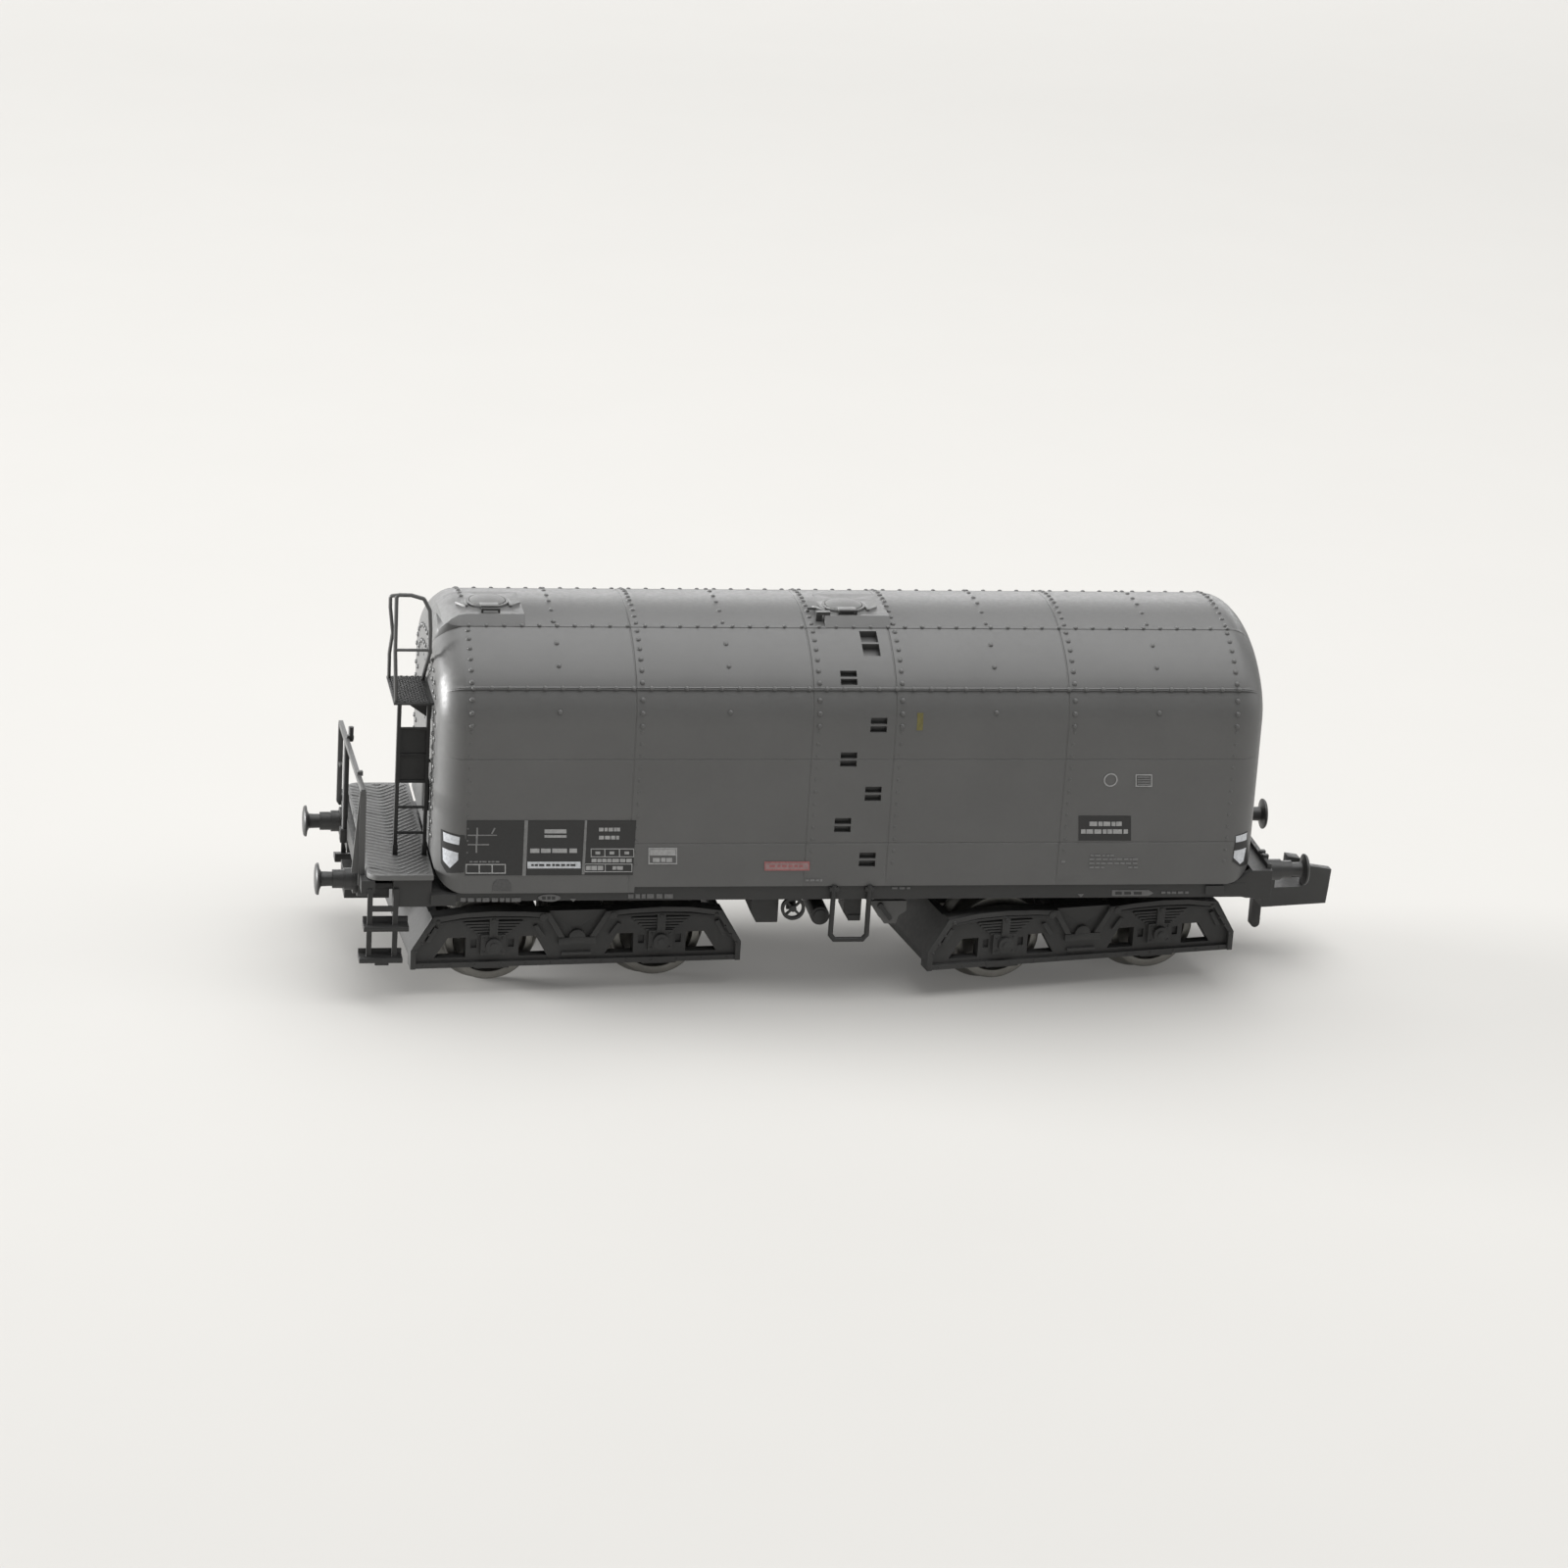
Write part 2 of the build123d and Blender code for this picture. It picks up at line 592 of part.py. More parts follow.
def handwheel(side):
    """Spoked wheel on a short spindle carried by a lug under the sole bar."""
    x, y, z = -2.25, side * 8.30, 6.45
    wheel = cyl_y(x, y, y + side * 0.28, z, 0.80) \
        - cyl_y(x, y - side * 0.5, y + side * 0.9, z, 0.60)
    wheel = wheel + cyl_y(x, y, y + side * 0.30, z, 0.22)
    spoke_y = y + side * 0.13
    for k in range(4):
        angle = radians(45 + 90 * k)
        rim_point = (x + 0.68 * cos(angle), spoke_y, z + 0.68 * sin(angle))
        wheel = wheel + bar((x, spoke_y, z), rim_point, 0.15, 0.15, up=(0, 1, 0))
    wheel = wheel + cyl_y(x, side * 7.5, y + side * 0.1, z, 0.16)
    lug = block(x - 0.3, x + 0.3, side * 7.45, side * 7.75, 6.1, sole_bottom)
    return largest(wheel + lug - underframe)


def air_cylinder():
    """Cylinder across the wagon, hung from the floor by two straps."""
    x, z = -0.32, 5.75
    cylinder = cyl_y(x, -8.10, 3.6, z, 0.63) + cyl_y(x, -8.20, -8.0, z, 0.45)
    for y0, y1 in ((-3.6, -2.9), (2.3, 3.0)):
        cylinder = cylinder + block(x - 0.4, x + 0.4, y0, y1, 5.8, floor_bottom)
    return largest(cylinder - underframe)


def hanging_step(side):
    """U of round rod with a flat lug at the top of each leg."""
    y = side * 8.98
    x0, x1 = 0.32, 2.72
    step = wire_rod([(x0, y, 8.25), (0.28, y, 4.75), (0.55, y, 4.42), (2.45, y, 4.42),
                     (x1, y, 4.75), (x1, y, 8.25)], 0.17)
    for x in (x0, x1):
        step = step + block(x - 0.30, x + 0.30, side * sole_face_y, side * 9.12, 7.85, 8.14)
    return largest(step - underframe - envelope)


def brake_valve():
    outline = [(1.26, sole_bottom), (1.26, 5.95), (1.64, 5.35), (2.45, 5.35),
               (2.45, sole_bottom)]
    valve = prism_y(outline, -7.95, -6.0)
    return one(valve + block(1.60, 2.40, -8.05, -7.9, 5.38, 5.78) - underframe)


def changeover_plate(side):
    outline = [(2.92, 6.85), (3.14, 6.45), (3.59, 5.75), (3.75, 5.60), (4.02, 5.22),
               (4.82, 5.22), (4.98, 5.79), (5.49, 6.14), (5.46, 6.85)]
    plate = prism_y(outline, side * 7.95, side * 8.22)
    plate = plate + block(3.3, 5.2, side * 7.6, side * 8.0, 6.55, sole_bottom)
    return plate - underframe


def changeover_lever(side, plate):
    """Slanting lever with a round hub on the outer face of its plate."""
    x, z = 3.70, 6.52
    lever = bar((x, side * 8.30, z), (4.42, side * 8.30, 5.55), 0.26, 0.15, up=(0, 1, 0))
    return largest(lever + cyl_y(x, side * 8.22, side * 8.42, z, 0.20) - plate)


save("equipment_box", underfloor_box(-1))
save("tool_box", underfloor_box(1))
save("air_cylinder", air_cylinder())
save("brake_valve", brake_valve())
levers = []
for side, tag in sides:
    save("handwheel_" + tag, handwheel(side))
    save("hanging_step_" + tag, hanging_step(side))
    plate = changeover_plate(side)
    save("changeover_plate_" + tag, largest(plate))
    levers.append(changeover_lever(side, plate))
save("changeover_levers", levers)

# ------------------------------------------------------------------- bogies
# Bogie coordinates: x along the bogie from its pivot, y across, z up.
bogie_places = {"a": (-pivot_x, 3.3), "b": (pivot_x, 9.0)}  # x, yaw: slightly turned
wheelbase = 1800 / scale
axle_r = 0.5
tread_r = 3.08
flange_r = 3.65
axle_z = flange_r
side_inner_y, side_outer_y = 6.2, 7.0
rim_y = 7.40                   # outer face of the raised rim
end_x, end_top_x = 11.1, 9.75  # bogie end below and above its slope

top_edge = [(1.9, 5.84), (3.6, 5.98), (5.62, 6.06), (7.6, 5.98)]
side_windows = (               # either side of the axle box, sloping away from it
    [(1.95, 2.70), (3.86, 2.70), (3.86, 4.10), (2.75, 4.10)],
    [(7.40, 2.70), (9.50, 2.70), (8.60, 4.10), (7.40, 4.10)])
end_rim = [(end_x, 2.1), (end_x, 3.45), (end_top_x, 5.70), (end_top_x - 0.35, 5.45),
           (end_x - 0.35, 3.35), (end_x - 0.35, 2.1)]
top_flange = [(end_top_x - 0.05, 5.68)] + top_edge[::-1] + [
    (1.9, 5.50), (3.6, 5.66), (5.62, 5.72), (7.6, 5.66), (end_top_x - 0.25, 5.36)]
centre_slope = [(2.30, 5.84), (1.90, 5.84), (0.85, 4.05), (1.25, 4.05)]
inner_rib = [(2.95, 4.85), (2.70, 4.95), (2.15, 4.15), (2.40, 4.05)]
outer_rib = [(9.55, 4.95), (9.30, 4.85), (9.85, 3.85), (10.1, 3.95)]
end_beam = [(10.95, 2.35), (10.95, 3.40), (9.75, 5.55), (9.20, 5.55), (9.35, 5.0),
            (10.45, 3.25), (10.45, 2.35)]


def axle_box(frame, side, x):
    """Axle box, leaf spring and keeper bar, centred at x on the side frame."""
    face, rim = side * side_outer_y, side * rim_y
    root = face - side * 0.05
    pieces = [
        frame,
        block(x - 0.82, x + 0.82, root, rim - side * 0.10, 2.95, 4.35),
        cyl_y(x, face, side * 7.62, axle_z, 0.52),
        cyl_y(x, face, side * 7.70, axle_z, 0.24),
        block(x - 0.28, x + 0.28, root, rim - side * 0.02, 4.2, 5.60),
    ]
    for k, half in enumerate((1.95, 1.75, 1.50, 1.25, 1.0)):
        leaf_top = 5.26 - 0.21 * k
        pieces.append(block(x - half, x + half, root, face + side * (0.22 - 0.02 * k),
                            leaf_top - 0.13, leaf_top))
    pieces.append(block(x - 1.15, x + 1.15, side * 6.5, side * 7.15, 1.95, 2.15))
    return fuse(pieces)


def side_frame(side):
    """One cast side frame."""
    face, rim = side * side_outer_y, side * rim_y
    root = face - side * 0.05  # raised details start just inside the face
    outline = [(-end_x, 2.1), (-end_x, 3.45), (-end_top_x, 5.70)] + flip(top_edge[::-1], -1) \
        + top_edge + [(end_top_x, 5.70), (end_x, 3.45), (end_x, 2.1)]
    frame = prism_y(outline, side * side_inner_y, face)
    for sign in (-1, 1):
        for window in side_windows:
            frame = frame - prism_y(flip(window, sign), side * 5.0, side * 8.0)
    # raised rim along the bottom edge
    frame = frame + block(-end_x, end_x, root, rim - side * 0.12, 2.1, 2.45)
    for sign in (-1, 1):
        for detail, set_back in ((end_rim, 0), (top_flange, 0), (centre_slope, 0.08),
                                 (inner_rib, 0.18), (outer_rib, 0.18)):
            frame = frame + prism_y(flip(detail, sign), root, rim - side * set_back)
        x = sign * wheelbase / 2
        frame = axle_box(frame, side, x)
        # round heads at the inner ends of the top flange
        frame = frame + cyl_y(sign * 2.35, face, side * 7.48, 5.58, 0.24)
        # axle box horn gaps
        for q in (-1, 1):
            frame = frame - block(x + q * 1.05, x + q * 1.45, side * 6.75, side * 7.6,
                                  3.35, 3.95)
    # half-round cup on a rest at mid bogie, and the bar below it
    frame = frame + block(-1.25, 1.25, root, rim - side * 0.08, 3.55, 4.0)
    frame = frame + (cyl_y(0, root, side * 7.30, 4.0, 0.55)
                     & block(-1, 1, root, rim, 4.0, 5.0))
    frame = frame + block(-1.0, 1.0, root, rim - side * 0.18, 2.75, 2.92)
    # blind journal sockets
    for sign in (-1, 1):
        frame = frame - cyl_y(sign * wheelbase / 2, side * 5.0, side * 6.86, axle_z,
                              axle_r + running_clearance)
    return frame


def bogie_frame():
    reach = side_inner_y + 0.05
    body = side_frame(-1) + side_frame(1)
    # end beams, set back between the side frames
    for sign in (-1, 1):
        body = body + prism_y(flip(end_beam, sign), -reach, reach)
    # bolster across the middle and the spine over the axles
    body = body + block(-1.75, 1.75, -reach, reach, 5.10, 5.85)
    body = body + block(-9.5, 9.5, -2.9, 2.9, 5.10, 5.55)
    # pivot pad with the recess for the screw head
    body = body + cyl_z(0, 0, 5.30, 6.25, 2.4)
    body = body - cyl_z(0, 0, 4.0, 5.45, 2.05)
    body = body - cyl_z(0, 0, 4.0, 7.0, pivot_shank_r + running_clearance)
    # spring plank cheeks hanging under the bolster, inside the wheels
    for side, _ in sides:
        body = body + block(-1.9, 1.9, side * 2.2, side * 3.3, 3.90, 5.20)
    return one(body)


def place_bogie(shape, which):
    x, yaw = bogie_places[which]
    return Pos(x, 0, 0) * Rot(0, 0, yaw) * shape


def pivot_screw(x):
    """Slotted, shouldered screw driven up into the underframe boss."""
    screw = cyl_z(x, 0, 4.90, 5.40, 1.95)
    screw = screw + cyl_z(x, 0, 5.35, 6.30, pivot_shank_r)
    screw = screw + cyl_z(x, 0, 6.25, 8.50, pivot_thread_r)
    return one(screw - block(x - 2.2, x + 2.2, -0.22, 0.22, 4.7, 5.12))


bogie = bogie_frame()
for which in bogie_places:
    save("bogie_frame_" + which, place_bogie(bogie, which))
save("pivot_screws", [pivot_screw(x) for x, _ in bogie_places.values()])

# ---------------------------------------------------------------- wheelsets
axle_tip_y = 6.75
bush_r = 0.85
wheel_back = 3.72              # half the distance between the wheel backs
wheel_front = wheel_back + 2.15
hub_back, hub_front = wheel_back + 0.05, wheel_front - 0.15


def wheel_profile(bore_r):
    """Radius and y of a wheel section, from the hub back round to the hub front."""
    return [
        (bore_r, hub_back), (1.10, hub_back), (1.25, wheel_back + 0.30),
        (2.35, wheel_back + 0.42), (2.60, wheel_back), (flange_r - 0.10, wheel_back),
        (flange_r, wheel_back + 0.12), (flange_r, wheel_back + 0.26),
        (flange_r - 0.22, wheel_back + 0.46), (tread_r + 0.06, wheel_back + 0.60),
        (tread_r, wheel_back + 0.80), (tread_r - 0.06, wheel_front - 0.08),
        (tread_r - 0.14, wheel_front), (2.45, wheel_front), (2.35, wheel_front - 0.45),
        (1.25, wheel_front - 0.60), (1.05, hub_front), (bore_r, hub_front)]


wheelset = {                   # the far wheel sits on an insulating bush
    "axle_%d": lathe_y([(0, -axle_tip_y), (0.06, -axle_tip_y), (axle_r, -6.30),
                        (axle_r, 6.30), (0.06, axle_tip_y), (0, axle_tip_y)]),
    "wheel_%d_near": lathe_y(wheel_profile(axle_r), -1),
    "wheel_%d_far": lathe_y(wheel_profile(bush_r)),
    "insulating_bush_%d": lathe_y([(axle_r, hub_back), (bush_r, hub_back),
                                   (bush_r, hub_front), (axle_r, hub_front)]),
}
axle_places = [(which, sign) for which in bogie_places for sign in (-1, 1)]
for number, (which, sign) in enumerate(axle_places, start=1):
    centre = Pos(sign * wheelbase / 2, 0, axle_z)
    for name, shape in wheelset.items():
        save(name % number, place_bogie(centre * shape, which))

# ------------------------------------------------------------------ couplers
coupler_b_yaw = 4.0
trunnion_x, trunnion_z = 29.9, 5.45
trunnion_r = 0.30


def coupler_pocket():
    """Swinging pocket in end-B coordinates, straight ahead."""
    pocket = cyl_z(coupler_pivot_x, 0, 6.45, 7.15, 1.15) \
        + block(coupler_pivot_x, 30.0, -1.05, 1.05, 6.45, 7.15)
    pocket = pocket + block(28.6, 30.0, -1.05, 1.05, 6.0, 6.6)
    # socket walls round the shank, flared at the mouth
    socket = block(28.35, 31.35, -1.55, 1.55, 4.65, 6.25)
    socket = socket - block(28.60, 32.0, -1.02, 1.02, 4.95, 5.90)
    flare = [(30.2, 5.85), (31.5, 6.15), (31.5, 4.9), (30.2, 4.95)]
    socket = socket - prism_y(flare, -1.02, 1.02)
    pocket = pocket + socket
    pocket = pocket - cyl_z(coupler_pivot_x, 0, 6.0, 7.6, coupler_pin_r + running_clearance)
    return one(pocket - cyl_y(trunnion_x, -2.0, 2.0, trunnion_z,
                              trunnion_r + running_clearance))


def coupler_head():
    """Hook-type head with its shank, closed cheek on the near side."""
    back_x, front_x = 31.55, 36.35
    lug_x = 32.105
    head = block(29.35, 31.7, -0.92, 0.92, 5.12, 5.74)
    head = head + cyl_y(trunnion_x, -1.45, 1.45, trunnion_z, trunnion_r)
    outlines = (               # X-Z outline, y0, y1
        # back plate, low near arm and low front wall with a sloped face
        ([(back_x, 3.90), (32.35, 3.92), (32.35, 6.30), (back_x, 6.30)], -2.70, 2.40),
        ([(back_x, 3.90), (front_x - 0.16, 4.05), (front_x - 0.04, 5.35), (back_x, 5.30)],
         -2.70, -0.90),
        ([(35.25, 4.02), (front_x - 0.16, 4.05), (front_x - 0.04, 5.35), (35.40, 5.35)],
         -2.70, 1.30),
        # high hook plate on the near side and its lower return
        ([(34.35, 5.2), (front_x - 0.06, 5.2), (front_x + 0.04, 6.52), (34.9, 6.78),
          (34.35, 6.4)], -2.70, -2.05),
        ([(35.75, 5.2), (front_x - 0.06, 5.2), (front_x + 0.02, 5.95), (35.95, 5.95)],
         -2.2, -0.6),
        # far arm with its catch block
        ([(32.2, 4.0), (36.0, 4.05), (36.0, 5.1), (32.2, 5.1)], 0.55, 1.30),
        ([(34.30, 5.0), (35.35, 5.0), (35.25, 6.20), (34.35, 6.35)], 0.40, 1.30),
    )
    for outline, y0, y1 in outlines:
        head = head + prism_y(outline, y0, y1)
    # lug for the uncoupling ramp, with a round lower end
    head = head + block(lug_x - 0.325, lug_x + 0.325, -0.32, 0.32, 1.78, 4.3)
    return one(head + cyl_y(lug_x, -0.32, 0.32, 1.78, 0.325))


def coupler_spring():
    """Small coil behind the shank, wound along X."""
    helix = Helix(pitch=0.17, height=0.60, radius=0.32, center=(28.66, 0, trunnion_z),
                  direction=(1, 0, 0))
    return one(sweep(Plane(origin=helix @ 0, z_dir=helix % 0) * Circle(0.055), path=helix))


def coupler_pin(x):
    return one(cyl_z(x, 0, 6.30, 8.0, coupler_pin_r) + cyl_z(x, 0, 6.12, 6.40, 0.95))


def place_coupler_b(shape):
    return Pos(coupler_pivot_x, 0, 0) * Rot(0, 0, coupler_b_yaw) \
        * Pos(-coupler_pivot_x, 0, 0) * shape


pocket = coupler_pocket()
save("coupler_pocket_b", place_coupler_b(pocket))
save("coupler_head_b", place_coupler_b(coupler_head()))
save("coupler_spring_b", place_coupler_b(coupler_spring()))
save("coupler_pocket_a", Rot(0, 0, 180) * pocket)
save("coupler_pins", [coupler_pin(end * coupler_pivot_x) for end in (-1, 1)])
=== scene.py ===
"""N-scale model tank wagon.

This script adds the riveted tank body, printed marks, deck ribs, landing tread and bogie
details, then materials, floor, lights and camera. Shape lengths are in mm and become metres
through MM. Wagon frame: +X towards the coupler end, -Y the near side, +Z up. Materials,
stage, lights and camera use metres.
"""
import json
import math
from collections import namedtuple

import bmesh
import bpy
import numpy as np
from mathutils import Matrix, Vector


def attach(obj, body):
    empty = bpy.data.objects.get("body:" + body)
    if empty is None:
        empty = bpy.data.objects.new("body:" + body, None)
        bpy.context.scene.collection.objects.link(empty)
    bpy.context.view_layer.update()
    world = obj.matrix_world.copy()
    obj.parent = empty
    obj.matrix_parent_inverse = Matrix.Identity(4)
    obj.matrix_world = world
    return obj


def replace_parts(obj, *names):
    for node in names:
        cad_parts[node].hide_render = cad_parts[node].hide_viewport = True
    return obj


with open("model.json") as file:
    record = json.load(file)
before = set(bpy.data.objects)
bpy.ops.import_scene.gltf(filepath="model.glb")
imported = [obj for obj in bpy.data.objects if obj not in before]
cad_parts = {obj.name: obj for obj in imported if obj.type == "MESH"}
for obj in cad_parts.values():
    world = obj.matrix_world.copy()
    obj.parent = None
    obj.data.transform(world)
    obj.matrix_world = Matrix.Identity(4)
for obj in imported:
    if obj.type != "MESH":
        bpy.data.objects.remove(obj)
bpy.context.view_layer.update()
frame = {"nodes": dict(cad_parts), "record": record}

MM = 0.001
nodes = frame["nodes"]
scene = bpy.context.scene


# ------------------------------------------------------------ shader helpers
def new_material(name):
    material = bpy.data.materials.new(name)
    material.use_nodes = True
    tree = material.node_tree
    tree.nodes.clear()
    output = tree.nodes.new("ShaderNodeOutputMaterial")
    shader = tree.nodes.new("ShaderNodeBsdfPrincipled")
    tree.links.new(shader.outputs[0], output.inputs[0])
    return material, tree, shader


def object_coords(tree):
    return tree.nodes.new("ShaderNodeTexCoord").outputs["Object"]


def remap(tree, value, source, target):
    """Map the source range of a value linearly onto the target range, clamped."""
    node = tree.nodes.new("ShaderNodeMapRange")
    node.inputs["From Min"].default_value = source[0]
    node.inputs["From Max"].default_value = source[1]
    node.inputs["To Min"].default_value = target[0]
    node.inputs["To Max"].default_value = target[1]
    tree.links.new(value, node.inputs["Value"])
    return node.outputs[0]


def noise(tree, coords, scale, detail=3.0, roughness=0.55):
    node = tree.nodes.new("ShaderNodeTexNoise")
    node.inputs["Scale"].default_value = scale
    node.inputs["Detail"].default_value = detail
    node.inputs["Roughness"].default_value = roughness
    tree.links.new(coords, node.inputs["Vector"])
    return node.outputs["Fac"]


def calculate(tree, operation, *values):
    """Math node fed by numbers or sockets."""
    node = tree.nodes.new("ShaderNodeMath")
    node.operation = operation
    for socket, value in zip(node.inputs, values):
        if isinstance(value, (int, float)):
            socket.default_value = value
        else:
            tree.links.new(value, socket)
    return node.outputs[0]


def set_colour(tree, shader, colour, factor):
    """Base colour: a fixed colour scaled by a factor socket."""
    node = tree.nodes.new("ShaderNodeVectorMath")
    node.operation = "SCALE"
    node.inputs[0].default_value = colour
    tree.links.new(factor, node.inputs["Scale"])
    tree.links.new(node.outputs[0], shader.inputs["Base Color"])


def set_roughness(tree, shader, value, target):
    roughness = remap(tree, value, source=(0.3, 0.7), target=target)
    tree.links.new(roughness, shader.inputs["Roughness"])


def set_bump(tree, shader, height, strength, distance):
    node = tree.nodes.new("ShaderNodeBump")
    node.inputs["Strength"].default_value = strength
    node.inputs["Distance"].default_value = distance
    tree.links.new(height, node.inputs["Height"])
    tree.links.new(node.outputs[0], shader.inputs["Normal"])


# ----------------------------------------------------------------- materials
PLASTIC_TINT = (1.0, 1.0, 0.985)


def painted_edge_highlight(tree, geometry, fine, edge):
    """Painted highlight: lighter colour where a rounded normal departs from the face normal."""
    bevel = tree.nodes.new("ShaderNodeBevel")
    bevel.samples = 4
    bevel.inputs["Radius"].default_value = 0.00007
    facing = tree.nodes.new("ShaderNodeVectorMath")
    facing.operation = "DOT_PRODUCT"
    tree.links.new(bevel.outputs[0], facing.inputs[0])
    tree.links.new(geometry.outputs["Normal"], facing.inputs[1])
    lightening = remap(tree, facing.outputs["Value"], source=(0.99, 0.80), target=(0.0, edge))
    patchy = remap(tree, fine, source=(0.35, 0.6), target=(0.4, 1.0))
    return calculate(tree, "MULTIPLY", lightening, patchy)


def top_dust(tree, geometry, broad, dust):
    """Dust on faces that look up."""
    split = tree.nodes.new("ShaderNodeSeparateXYZ")
    tree.links.new(geometry.outputs["Normal"], split.inputs[0])
    upward = remap(tree, split.outputs["Z"], source=(0.5, 1.0), target=(0.0, dust))
    patchy = remap(tree, broad, source=(0.35, 0.65), target=(0.4, 1.0))
    return calculate(tree, "MULTIPLY", upward, patchy)


def moulded(name, shade, roughness, specular, vary, grain, edge, dust=0.0):
    """Moulded or painted surface with soft variation, fine grain and a painted highlight that
    makes its edges paler.
    """
    material, tree, shader = new_material(name)
    coords = object_coords(tree)
    broad = noise(tree, coords, scale=260.0, detail=4.0)
    fine = noise(tree, coords, scale=3400.0, detail=5.0, roughness=0.6)
    speck = noise(tree, coords, scale=9000.0, detail=2.0, roughness=0.5)
    factor = calculate(
        tree, "MULTIPLY",
        remap(tree, broad, source=(0.3, 0.7), target=(1.0 - vary, 1.0 + vary)),
        remap(tree, fine, source=(0.25, 0.75), target=(1.0 - vary * 0.7, 1.0 + vary * 0.7)))
    geometry = tree.nodes.new("ShaderNodeNewGeometry")
    # painted highlight on the edges; where dust is given, dust on faces that look up is added to
    # it
    lightening = painted_edge_highlight(tree, geometry, fine, edge)
    if dust > 0:
        lightening = calculate(tree, "ADD", lightening, top_dust(tree, geometry, broad, dust))
    factor = calculate(tree, "MULTIPLY", factor, calculate(tree, "ADD", lightening, 1.0))
    set_colour(tree, shader, tuple(shade * t for t in PLASTIC_TINT), factor)
    set_roughness(tree, shader, fine, target=(roughness - 0.06, roughness + 0.08))
    shader.inputs["Specular IOR Level"].default_value = specular
    shader.inputs["Metallic"].default_value = 0.0
    height = calculate(tree, "ADD", calculate(tree, "MULTIPLY", fine, 0.6),
                       calculate(tree, "MULTIPLY", speck, 0.4))
    set_bump(tree, shader, height, strength=grain, distance=0.00002)
    return material


def printed(name, colour, roughness=0.45):
    """Thin printed ink, slightly broken up by wear."""
    material, tree, shader = new_material(name)
    wear = noise(tree, object_coords(tree), scale=5200.0)
    factor = remap(tree, wear, source=(0.3, 0.65), target=(0.80, 1.08))
    set_colour(tree, shader, colour, factor)
    set_roughness(tree, shader, wear, target=(roughness - 0.05, roughness + 0.1))
    set_bump(tree, shader, wear, strength=0.15, distance=0.00001)
    return material


def metal(name, colour, roughness):
    """Turned or drawn metal with fine tool marks and a dull film."""
    material, tree, shader = new_material(name)
    coords = object_coords(tree)
    film = noise(tree, coords, scale=420.0)
    tooling = noise(tree, coords, scale=2600.0, detail=4.0)
    factor = calculate(tree, "MULTIPLY",
                       remap(tree, film, source=(0.3, 0.7), target=(0.85, 1.12)),
                       remap(tree, tooling, source=(0.3, 0.7), target=(0.9, 1.08)))
    set_colour(tree, shader, colour, factor)
    shader.inputs["Metallic"].default_value = 0.85
    set_roughness(tree, shader, tooling, target=(roughness - 0.08, roughness + 0.12))
    set_bump(tree, shader, tooling, strength=0.2, distance=0.00001)
    return material


# name: shade, roughness, specular, colour variation, grain, painted edge highlight[, dust]
MOULDED = {
    "tank_grey": (0.114, 0.42, 0.5, 0.045, 0.22, 0.10),
    "deck_grey": (0.135, 0.50, 0.4, 0.06, 0.25, 0.12),
    "underframe_dark": (0.040, 0.50, 0.4, 0.08, 0.28, 0.30),
    "bogie_plastic": (0.042, 0.52, 0.45, 0.10, 0.35, 0.55, 0.25),
    "detail_black": (0.030, 0.48, 0.45, 0.08, 0.28, 0.35),
    "ladder_black": (0.018, 0.50, 0.4, 0.08, 0.25, 0.30),
    "handle_dark": (0.040, 0.45, 0.45, 0.06, 0.25, 0.25),
    "railing_grey": (0.085, 0.48, 0.5, 0.06, 0.25, 0.25),
    "buffer_plastic": (0.040, 0.42, 0.5, 0.07, 0.22, 0.30),
    "coupler_plastic": (0.045, 0.50, 0.45, 0.08, 0.30, 0.30),
    "plate_grey": (0.10, 0.48, 0.45, 0.06, 0.25, 0.2),
    "bush_plastic": (0.02, 0.45, 0.45, 0.06, 0.2, 0.2),
    "lid_grey": (0.150, 0.5, 0.4, 0.05, 0.2, 0.1),
    "landing_dark": (0.050, 0.55, 0.4, 0.08, 0.3, 0.25),
}
# name: colour, roughness
METALS = {
    "wheel_blackened": ((0.22, 0.215, 0.20), 0.38),
    "axle_steel": ((0.45, 0.45, 0.45), 0.30),
    "spring_steel": ((0.5, 0.5, 0.5), 0.28),
    "fixing_steel": ((0.42, 0.42, 0.43), 0.32),
    "ballast_steel": ((0.36, 0.35, 0.34), 0.45),
}
# name: colour
PRINTS = {
    "tank_patch": (0.085, 0.085, 0.085),
    "print_dark": (0.024, 0.024, 0.024),
    "print_white": (0.38, 0.38, 0.38),
    "print_worn": (0.13, 0.13, 0.13),
    "print_bright": (0.62, 0.64, 0.67),
    "print_grey": (0.20, 0.20, 0.20),
    "print_red": (0.36, 0.13, 0.13),
    "print_pink": (0.33, 0.22, 0.22),
    "print_yellow": (0.16, 0.14, 0.045),
}
materials = {name: moulded(name, *finish) for name, finish in MOULDED.items()}
materials.update({name: metal(name, *finish) for name, finish in METALS.items()})
materials.update({name: printed(name, colour) for name, colour in PRINTS.items()})


# -------------------------------------------------------------- mesh helpers
def finish_mesh(name, bm, material, sharp_angle=40, body="wagon"):
    bmesh.ops.recalc_face_normals(bm, faces=bm.faces)
    mesh = bpy.data.meshes.new(name)
    bm.to_mesh(mesh)
    bm.free()
    mesh.shade_smooth()
    mesh.set_sharp_from_angle(angle=math.radians(sharp_angle))
    mesh.materials.append(materials[material])
    part = bpy.data.objects.new(name, mesh)
    scene.collection.objects.link(part)
    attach(part, body)
    return part


def bridge(bm, ring, next_ring):
    """Quads between two closed rings of equal length."""
    for k in range(len(ring)):
        q = (k + 1) % len(ring)
        bm.faces.new((ring[k], ring[q], next_ring[q], next_ring[k]))


